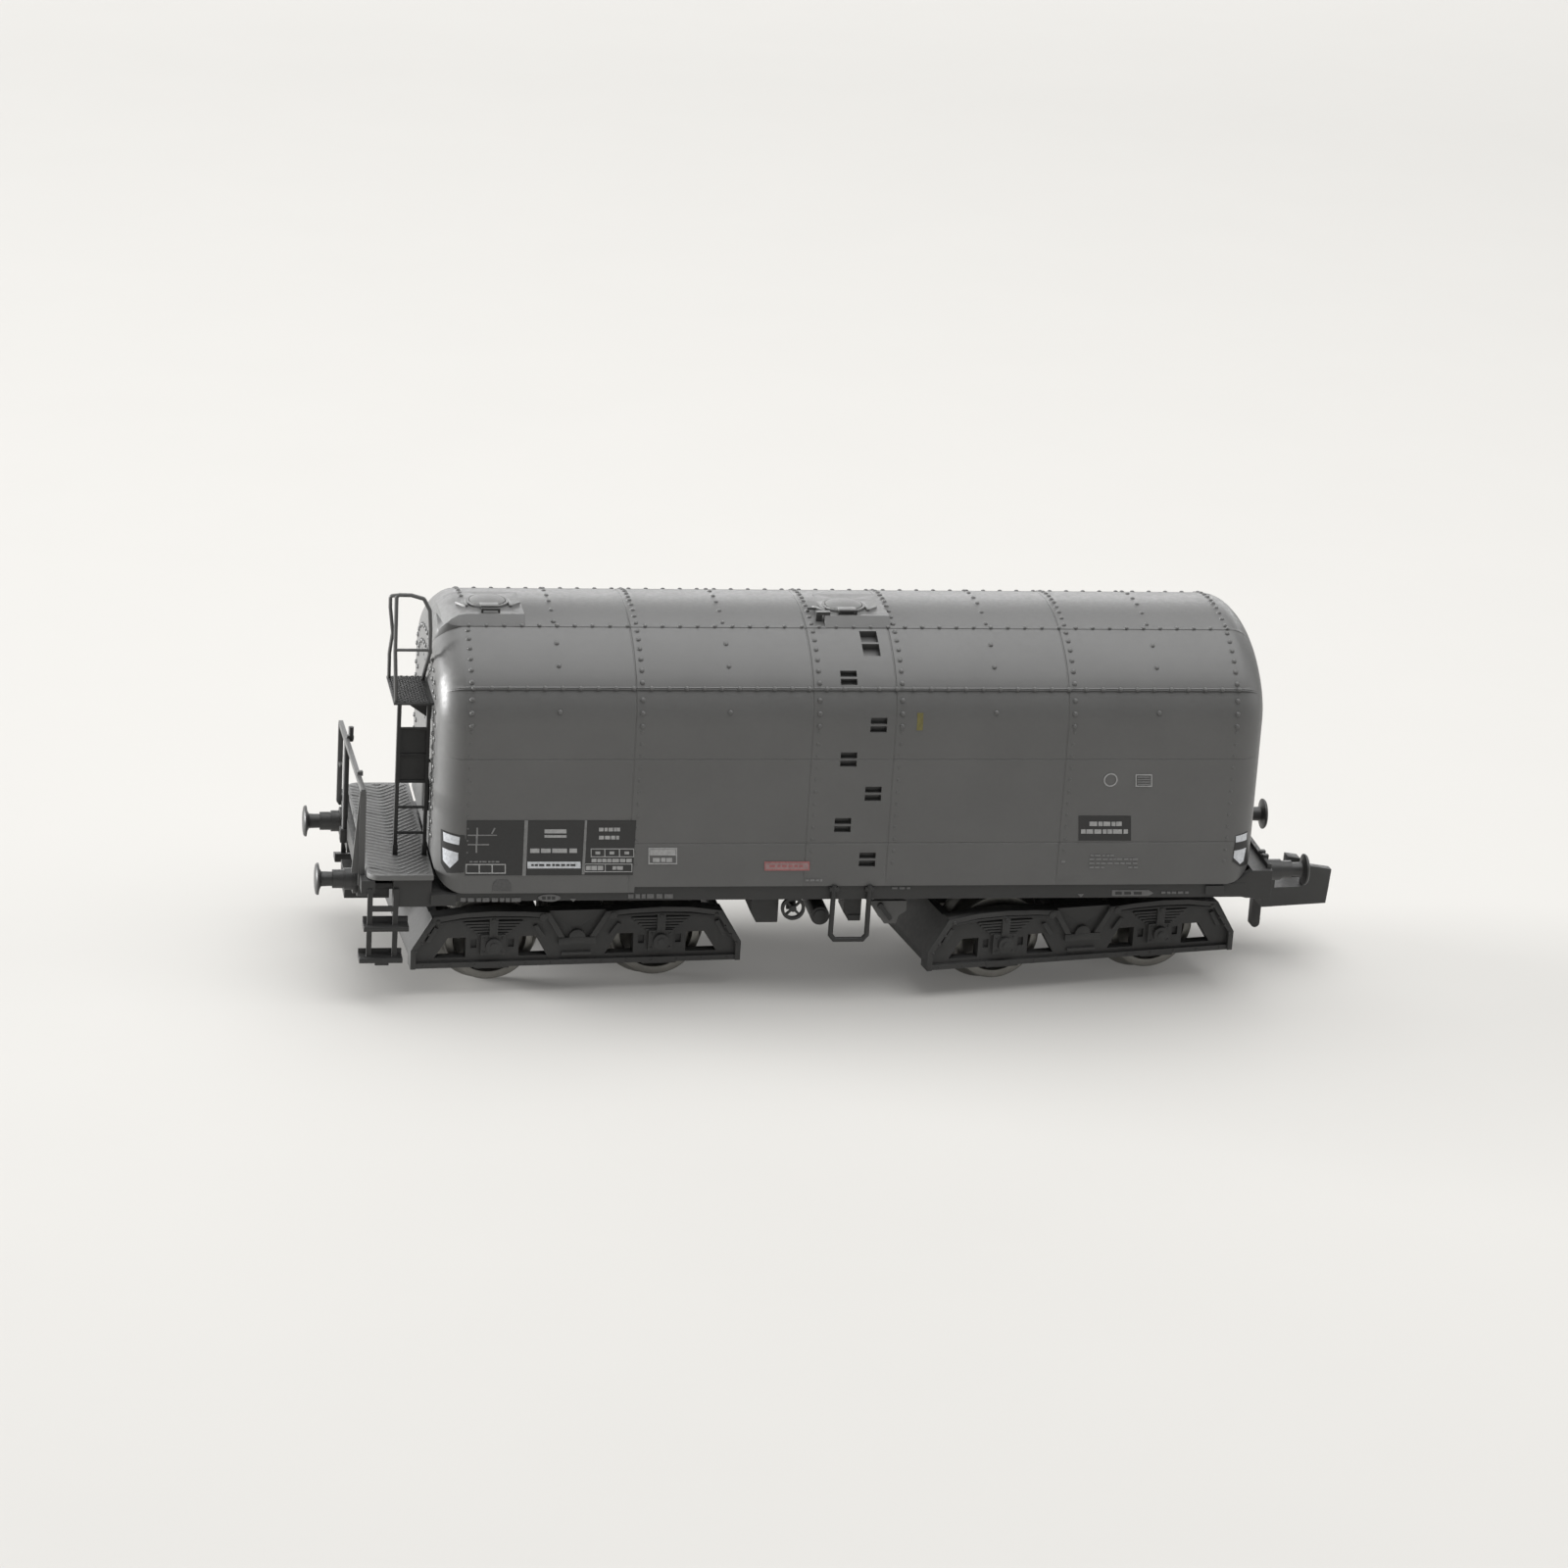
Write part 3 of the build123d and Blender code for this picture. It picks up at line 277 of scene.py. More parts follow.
def add_tube(bm, path, radius, segments=10):
    """Capped round wire along a mainly level path, its frame carried from point to point."""
    points = [Vector(p) * MM for p in path]
    last = len(points) - 1
    across = None
    rings = []
    for i, point in enumerate(points):
        tangent = (points[min(i + 1, last)] - points[max(i - 1, 0)]).normalized()
        if across is None:
            across = tangent.cross(Vector((0, 0, 1))).normalized()
        across = (across - tangent * across.dot(tangent)).normalized()
        upward = tangent.cross(across)
        ring = []
        for k in range(segments):
            angle = 2 * math.pi * k / segments
            offset = across * math.cos(angle) + upward * math.sin(angle)
            ring.append(bm.verts.new(point + offset * (radius * MM)))
        rings.append(ring)
    for ring, next_ring in zip(rings[:-1], rings[1:]):
        bridge(bm, ring, next_ring)
    bm.faces.new(list(reversed(rings[0])))
    bm.faces.new(rings[-1])


def smooth_path(path, radius, steps):
    """Polyline with its corners rounded to about the given radius."""
    out = [Vector(path[0])]
    for i in range(1, len(path) - 1):
        corner = Vector(path[i])
        back, ahead = Vector(path[i - 1]) - corner, Vector(path[i + 1]) - corner
        angle = back.angle(ahead)
        if angle > math.radians(176):
            out.append(corner)
            continue
        trim = min(radius / math.tan(angle / 2), back.length * 0.48, ahead.length * 0.48)
        start = corner + back.normalized() * trim
        end = corner + ahead.normalized() * trim
        for k in range(steps + 1):
            f = k / steps
            out.append(start * (1 - f) ** 2 + corner * 2 * f * (1 - f) + end * f ** 2)
    out.append(Vector(path[-1]))
    return [tuple(v) for v in out]


def add_dome(bm, position, normal, radius, height, segments=10):
    """Rivet or bolt head: a shallow dome, its foot sunk a little into the sheet."""
    sink, levels = 0.03, 3
    normal = Vector(normal).normalized()
    u = normal.cross(Vector((1, 0, 0)) if abs(normal.x) < 0.9 else Vector((0, 1, 0))).normalized()
    w = normal.cross(u)
    centre = Vector(position)
    profile = [(radius, -sink)]
    for i in range(levels):
        angle = math.pi / 2 * i / levels
        profile.append((radius * math.cos(angle), height * math.sin(angle)))
    rings = []
    for r, h in profile:
        ring = []
        for k in range(segments):
            angle = 2 * math.pi * k / segments
            offset = (u * math.cos(angle) + w * math.sin(angle)) * r
            ring.append(bm.verts.new((centre + normal * h + offset) * MM))
        if rings:
            bridge(bm, rings[-1], ring)
        rings.append(ring)
    top = bm.verts.new((centre + normal * height) * MM)
    for k in range(segments):
        bm.faces.new((rings[-1][k], rings[-1][(k + 1) % segments], top))
    bm.faces.new(list(reversed(rings[0])))


# ---------------------------------------------------------------- tank sizes
TANK_X0, TANK_X1 = -26.2, 29.0
HALF_WIDTH = 8.9
SPRING_Z, CROWN_Z = 19.3, 25.1      # where the upright side meets the arch, and the top
RISE = CROWN_Z - SPRING_Z
BOTTOM_Z = 8.19
LOW_BOTTOM_Z, STEP_X = 7.79, -13.0  # the lower edge is deeper up to STEP_X
CORNER_R = 2.0
CURVE_X0, CURVE_X1 = TANK_X0 + CORNER_R, TANK_X1 - CORNER_R
LAP_Z, ROOF_HALF = 21.56, 4.1       # lower sheet lap, half width of the roof sheet
# Arch angles are in degrees, up from the near edge.
LAP_ANGLE = math.degrees(math.asin((LAP_Z - SPRING_Z) / RISE))
ROOF_ANGLE = math.degrees(math.acos(ROOF_HALF / HALF_WIDTH))
UPPER_LIFT, ROOF_LIFT = 0.075, 0.105
LAP_CREST, ROOF_CREST = 0.125, 0.12
RIVET_COLUMNS = (-24.1, -13.0, -1.33, 4.17, 15.76, 26.81)

JOINT_X = [x - 0.42 for x in RIVET_COLUMNS[1:5]]   # upright grooves between sheets
GROOVE_Z = (11.2, 17.06)                           # level grooves on the sides
GROOVE_EDGE, GROOVE_FLOOR, GROOVE_LIFT = 0.07, 0.02, -0.035
CORNER_SHEET_X, CORNER_SHEET_LIFT = -24.55, 0.03
END_FADE = 0.6                                     # inset over which sheet lifts die out
FOOT_TURN_Z = 10.3                                 # below this the lower edge turns under

HOLE_DEPTH = 0.50
# Footholds in the side (centre x, centre z), each split by a level bar.
FOOTHOLDS = ((2.61, 19.43), (0.75, 17.05), (2.54, 14.66), (0.64, 12.47), (2.45, 10.04))
FOOTHOLD_HALF_W, FOOTHOLD_HALF_H, BAR_HALF_H = 0.55, 0.5, 0.07
# Footholds in the arch: centre x, centre angle, half span, half bar (degrees), width.
ARCH_FOOTHOLDS = ((0.64, 30.6, 4.25, 0.6, 1.10), (2.36, 52.3, 8.36, 0.52, 1.15))

# Openings as x0, x1, low, high: heights on the side, angles on the arch.
side_holes = [(x - FOOTHOLD_HALF_W, x + FOOTHOLD_HALF_W, z + low, z + high)
              for x, z in FOOTHOLDS
              for low, high in ((-FOOTHOLD_HALF_H, -BAR_HALF_H), (BAR_HALF_H, FOOTHOLD_HALF_H))]
arch_holes = [(x - width / 2, x + width / 2, angle + low, angle + high)
              for x, angle, span, bar, width in ARCH_FOOTHOLDS
              for low, high in ((-span, -bar), (bar, span))]

# Cavity open at the bottom; its ends fall on a step of the corner curve.
CAVITY_HALF, CAVITY_TOP, CAVITY_STEP = 8.1, 19.2, 8


# -------------------------------------------------------------- tank surface
def arch(angle):
    """y, z and outward normal on the arch."""
    a = math.radians(angle)
    y, z = -HALF_WIDTH * math.cos(a), SPRING_Z + RISE * math.sin(a)
    normal = Vector((0, y / HALF_WIDTH ** 2, (z - SPRING_Z) / RISE ** 2)).normalized()
    return y, z, normal


def height_angle(z):
    """Arch angle at a height."""
    return math.degrees(math.asin((z - SPRING_Z) / RISE))


def sheet_lift(angle):
    """Height of the overlapping sheets above the arch."""
    if angle > ROOF_ANGLE:
        return ROOF_LIFT
    return UPPER_LIFT if angle > LAP_ANGLE else 0.0


def corner_run(step):
    """Distance from an end face at a step of the corner curve."""
    return CORNER_R * (1 - math.sin(math.radians(90 - 7.5 * step)))


def inset(x):
    """How far the rounded ends pull the surface in at x."""
    depth = min(x - TANK_X0, TANK_X1 - x)
    if depth >= CORNER_R:
        return 0.0
    s = 1 - depth / CORNER_R
    return CORNER_R * (1 - math.sqrt(1 - s * s))


# Point of the cross section; angle is None on the upright sides.
Station = namedtuple("Station", "y z normal lift angle")


def side_heights():
    """Heights on the side, each with its lift."""
    heights = {BOTTOM_Z + 0.35: 0.0, SPRING_Z - 0.001: 0.0}
    for z in np.arange(9.0, SPRING_Z, 0.9):
        heights[round(float(z), 3)] = 0.0
    for groove in GROOVE_Z:
        for offset, lift in ((-GROOVE_EDGE, 0.0), (-GROOVE_FLOOR, GROOVE_LIFT),
                             (GROOVE_FLOOR, GROOVE_LIFT), (GROOVE_EDGE, 0.0)):
            heights[round(groove + offset, 4)] = lift
    for *_, low, high in side_holes:
        for edge in (low, high):
            if edge < SPRING_Z:
                heights[round(edge, 4)] = 0.0
    return sorted(heights.items())


def arch_angles():
    """Angles on the arch up to the crown, each with its lift."""
    angles = {round(float(t), 3) for t in np.arange(1.5, 90.01, 2.5)} | {90.0}
    angles = {t for t in angles if abs(t - LAP_ANGLE) > 1.0 and abs(t - ROOF_ANGLE) > 1.0}
    for *_, low, high in arch_holes:
        angles |= {round(low, 4), round(high, 4)}
    # The top foothold of the side crosses onto the arch.
    for *_, low, high in side_holes:
        angles |= {round(height_angle(z), 4) for z in (low, high) if z > SPRING_Z}
    stations = [(t, sheet_lift(t)) for t in angles]
    for t, below, crest, above in ((LAP_ANGLE, 0.0, LAP_CREST, UPPER_LIFT),
                                   (ROOF_ANGLE, UPPER_LIFT, ROOF_CREST, ROOF_LIFT)):
        stations += [(t - 0.10, below), (t + 0.06, below), (t + 0.18, crest * 0.92),
                     (t + 0.55, crest), (t + 1.25, crest), (t + 1.9, above)]
    return sorted(stations)


def cross_section():
    """Stations from the near lower edge over the crown to the far lower edge."""
    half = [Station(-HALF_WIDTH, z, Vector((0, -1, 0)), lift, None)
            for z, lift in side_heights()]
    for angle, lift in arch_angles():
        half.append(Station(*arch(angle), lift, angle))
    mirror = [s._replace(y=-s.y, normal=Vector((0, -s.normal.y, s.normal.z)))
              for s in reversed(half[:-1])]
    return half + mirror


def length_stations():
    """x stations along the tank."""
    xs = set()
    for step in range(13):
        xs.add(round(TANK_X0 + corner_run(step), 5))
        xs.add(round(TANK_X1 - corner_run(step), 5))
    for joint in JOINT_X:
        xs |= {round(joint + offset, 4)
               for offset in (-GROOVE_EDGE, -GROOVE_FLOOR, GROOVE_FLOOR, GROOVE_EDGE)}
    xs |= {-24.62, -24.56, -24.5, STEP_X, STEP_X + 0.02}
    for x0, x1, *_ in side_holes + arch_holes:
        xs |= {round(x0, 4), round(x1, 4)}
    for x in np.arange(-23.0, 27.0, 2.9):
        if min(abs(x - other) for other in xs) > 0.3:
            xs.add(round(float(x), 4))
    return sorted(xs)


def skin(x, station, extra=0.0):
    """Surface point with sheet lifts, grooves and end rounding."""
    pull = inset(x)
    fade = max(0.0, 1 - pull / END_FADE)
    groove = GROOVE_LIFT if any(abs(x - joint) < 0.03 for joint in JOINT_X) else 0.0
    on_side = station.angle is None
    corner = CORNER_SHEET_LIFT if x < CORNER_SHEET_X and on_side else 0.0
    offset = (station.lift + groove + corner) * fade - pull + extra
    point = Vector((x, station.y, station.z)) + station.normal * offset
    if on_side and station.z < FOOT_TURN_Z:
        point.z += pull * (1 - (station.z - BOTTOM_Z) / (FOOT_TURN_Z - BOTTOM_Z))
    return point


# ----------------------------------------------------------------- tank body
def in_hole(x, first, second):
    """Whether the cell between two stations lies in a foothold opening."""
    z = (first.z + second.z) / 2
    if any(x0 < x < x1 and low < z < high for x0, x1, low, high in side_holes):
        return True
    if first.angle is None or second.angle is None:
        return False
    angle = (first.angle + second.angle) / 2
    return any(x0 < x < x1 and low < angle < high for x0, x1, low, high in arch_holes)


def add_tank_skin(bm, xs, section):
    """Outer surface with recessed footholds; returns its vertices by (i, j)."""
    outer = {}
    for i, x in enumerate(xs):
        for j, station in enumerate(section):
            outer[i, j] = bm.verts.new(skin(x, station) * MM)
    recessed = {}

    def inner(corner):
        if corner not in recessed:
            i, j = corner
            recessed[corner] = bm.verts.new(skin(xs[i], section[j], -HOLE_DEPTH) * MM)
        return recessed[corner]

    cells = [(i, j) for i in range(len(xs) - 1) for j in range(len(section) - 1)]
    hole_cells = {(i, j) for i, j in cells
                  if in_hole((xs[i] + xs[i + 1]) / 2, section[j], section[j + 1])}
    for i, j in cells:
        corners = ((i, j), (i + 1, j), (i + 1, j + 1), (i, j + 1))
        if (i, j) not in hole_cells:
            bm.faces.new([outer[c] for c in corners])
            continue
        bm.faces.new([inner(c) for c in corners])
        c00, c10, c11, c01 = corners
        for a, b, neighbour in ((c00, c10, (i, j - 1)), (c01, c11, (i, j + 1)),
                                (c00, c01, (i - 1, j)), (c10, c11, (i + 1, j))):
            if neighbour not in hole_cells:
                bm.faces.new((outer[a], outer[b], inner(b), inner(a)))
    return outer


def add_tank_bottom(bm, xs, outer, last_row):
    """Lower edge, underside, cavity and flat end faces."""
    cavity_x0 = round(TANK_X0 + corner_run(CAVITY_STEP), 5)
    cavity_x1 = round(TANK_X1 - corner_run(CAVITY_STEP), 5)
    near_low, far_low, near_rim, far_rim = [], [], {}, {}
    for i, x in enumerate(xs):
        pull = inset(x)
        z = (LOW_BOTTOM_Z if x <= STEP_X else BOTTOM_Z) + pull
        near_low.append(bm.verts.new(Vector((x, -(HALF_WIDTH - pull), z)) * MM))
        far_low.append(bm.verts.new(Vector((x, HALF_WIDTH - pull, z)) * MM))
        if cavity_x0 - 1e-6 <= x <= cavity_x1 + 1e-6:
            near_rim[i] = bm.verts.new(Vector((x, -CAVITY_HALF, z)) * MM)
            far_rim[i] = bm.verts.new(Vector((x, CAVITY_HALF, z)) * MM)
    for i in range(len(xs) - 1):
        n = i + 1
        for low, row in ((near_low, 0), (far_low, last_row)):
            bm.faces.new((low[i], low[n], outer[n, row], outer[i, row]))
        if i in near_rim and n in near_rim:
            for low, rim in ((near_low, near_rim), (far_low, far_rim)):
                bm.faces.new((low[i], low[n], rim[n], rim[i]))
        elif n in near_rim:
            bm.faces.new((near_low[i], near_low[n], near_rim[n],
                          far_rim[n], far_low[n], far_low[i]))
        elif i in near_rim:
            bm.faces.new((near_low[n], near_low[i], near_rim[i],
                          far_rim[i], far_low[i], far_low[n]))
        else:
            bm.faces.new((near_low[i], near_low[n], far_low[n], far_low[i]))
    along = sorted(near_rim)
    first, last = along[0], along[-1]
    near_top, far_top = [
        {k: bm.verts.new(Vector((xs[k], y, CAVITY_TOP)) * MM) for k in (first, last)}
        for y in (-CAVITY_HALF, CAVITY_HALF)]
    for rim, top in ((near_rim, near_top), (far_rim, far_top)):
        bm.faces.new([rim[k] for k in along] + [top[last], top[first]])
    bm.faces.new((near_top[first], near_top[last], far_top[last], far_top[first]))
    for k in (first, last):
        bm.faces.new((near_rim[k], near_top[k], far_top[k], far_rim[k]))
    for i in (0, len(xs) - 1):
        outline = [outer[i, j] for j in range(last_row + 1)]
        bm.faces.new([near_low[i]] + outline + [far_low[i]])


def build_tank():
    bm = bmesh.new()
    xs = length_stations()
    section = cross_section()
    outer = add_tank_skin(bm, xs, section)
    add_tank_bottom(bm, xs, outer, len(section) - 1)
    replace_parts(finish_mesh("tank_body", bm, "tank_grey", sharp_angle=28), "tank_shell")


build_tank()

# -------------------------------------------------------------------- rivets
LAP_PITCH, COLUMN_PITCH, END_PITCH = 1.157, 0.83, 0.95
SHORT_ROW_X = (-18.4, -7.25, 10.45, 21.45)
SHORT_ROW_ANGLES = (9.5, 37.2, 51.3, 66.5, 76.5, 86.0)
END_RING_DEPTHS = (2.35, 3.45)      # distance inside the end outline
END_RING_Z0 = 11.0
END_ROW_Z = (12.6, 16.9, 20.6)


def arc_steps(start, end, pitch, half_width=HALF_WIDTH, rise=RISE):
    """Angles spaced by the pitch along an elliptical arch."""
    angles = []
    t = start
    while t < end:
        angles.append(t)
        a = math.radians(t)
        t += math.degrees(pitch / math.hypot(half_width * math.sin(a), rise * math.cos(a)))
    return angles


def add_arch_rivet(bm, x, angle, side, radius, height, lift=None):
    """Rivet on the near (side -1) or far (side 1) half of the arch."""
    y, z, normal = arch(angle)
    point = Vector((x, y, z)) + normal * (sheet_lift(angle) if lift is None else lift)
    add_dome(bm, (point.x, -side * point.y, point.z), (0, -side * normal.y, normal.z),
             radius, height)


def add_column_rivets(bm, x):
    """Upright column over the arch and down both sides."""
    angles = arc_steps(LAP_ANGLE + 4.4, 90.0, COLUMN_PITCH)
    angles += [height_angle(LAP_Z - 0.55 - COLUMN_PITCH * k) for k in (2, 1, 0)]
    for angle in angles:
        y, _, normal = arch(angle)
        on_roof = abs(y + normal.y * sheet_lift(angle)) < ROOF_HALF
        # The first column has no rivets on the near half of the roof sheet.
        if not (x == RIVET_COLUMNS[0] and on_roof):
            add_arch_rivet(bm, x, angle, -1, radius=0.18, height=0.12)
        # A rivet at the crown is made once only.
        if angle <= 89.0:
            add_arch_rivet(bm, x, angle, 1, radius=0.18, height=0.12)
    for k in range(12):
        z = SPRING_Z - 0.35 - COLUMN_PITCH * k
        for side in (-1, 1):
            add_dome(bm, (x, side * HALF_WIDTH, z), (0, side, 0), radius=0.12, height=0.035)


def add_end_rivets(bm, x, outward):
    """Two rings that follow the outline of an end wall, and three level rows."""
    heights = np.arange(END_RING_Z0, SPRING_Z, END_PITCH)
    for depth in END_RING_DEPTHS:
        half, rise = HALF_WIDTH - depth, RISE - depth
        points = [(-half, z) for z in heights]
        for t in arc_steps(3.0, 178, END_PITCH, half, rise):
            a = math.radians(t)
            points.append((-half * math.cos(a), SPRING_Z + rise * math.sin(a)))
        points += [(half, z) for z in heights]
        for y, z in points:
            add_dome(bm, (x, y, z), (outward, 0, 0), radius=0.19, height=0.14)
    for z in END_ROW_Z:
        for y in np.arange(-4.2, 4.3, 1.05):
            add_dome(bm, (x, y, z), (outward, 0, 0), radius=0.11, height=0.06)


def build_rivets():
    bm = bmesh.new()
    for x in RIVET_COLUMNS:
        add_column_rivets(bm, x)
    for k in range(-10, 35):
        x = -13.0 + LAP_PITCH * k + 0.58
        for angle, lift in ((LAP_ANGLE, LAP_CREST), (ROOF_ANGLE, ROOF_CREST)):
            for side in (-1, 1):
                add_arch_rivet(bm, x, angle + 0.95, side, radius=0.16, height=0.10, lift=lift)
    for x in SHORT_ROW_X:
        for angle in SHORT_ROW_ANGLES:
            for side in (-1, 1):
                add_arch_rivet(bm, x, angle, side, radius=0.17, height=0.12)
    add_end_rivets(bm, TANK_X0, -1)
    add_end_rivets(bm, TANK_X1, 1)
    finish_mesh("tank_rivets", bm, "tank_grey", sharp_angle=60)


build_rivets()


# ------------------------------------------------------------- printed marks
def ring_mark(x, z, outer, inner, steps=20):
    """Quads of a thin ring."""
    def point(radius, k):
        angle = 2 * math.pi * k / steps
        return round(x + radius * math.cos(angle), 3), round(z + radius * math.sin(angle), 3)
    return [(point(outer, k + 1), point(outer, k), point(inner, k), point(inner, k + 1))
            for k in range(steps)]


LOWER_FACE_Y = -8.75                            # flat face below the tank
LAYER_HEIGHT = {1: 0.030, 2: 0.045, 3: 0.058}   # print height above the sheet
MARK_SINK = 0.06

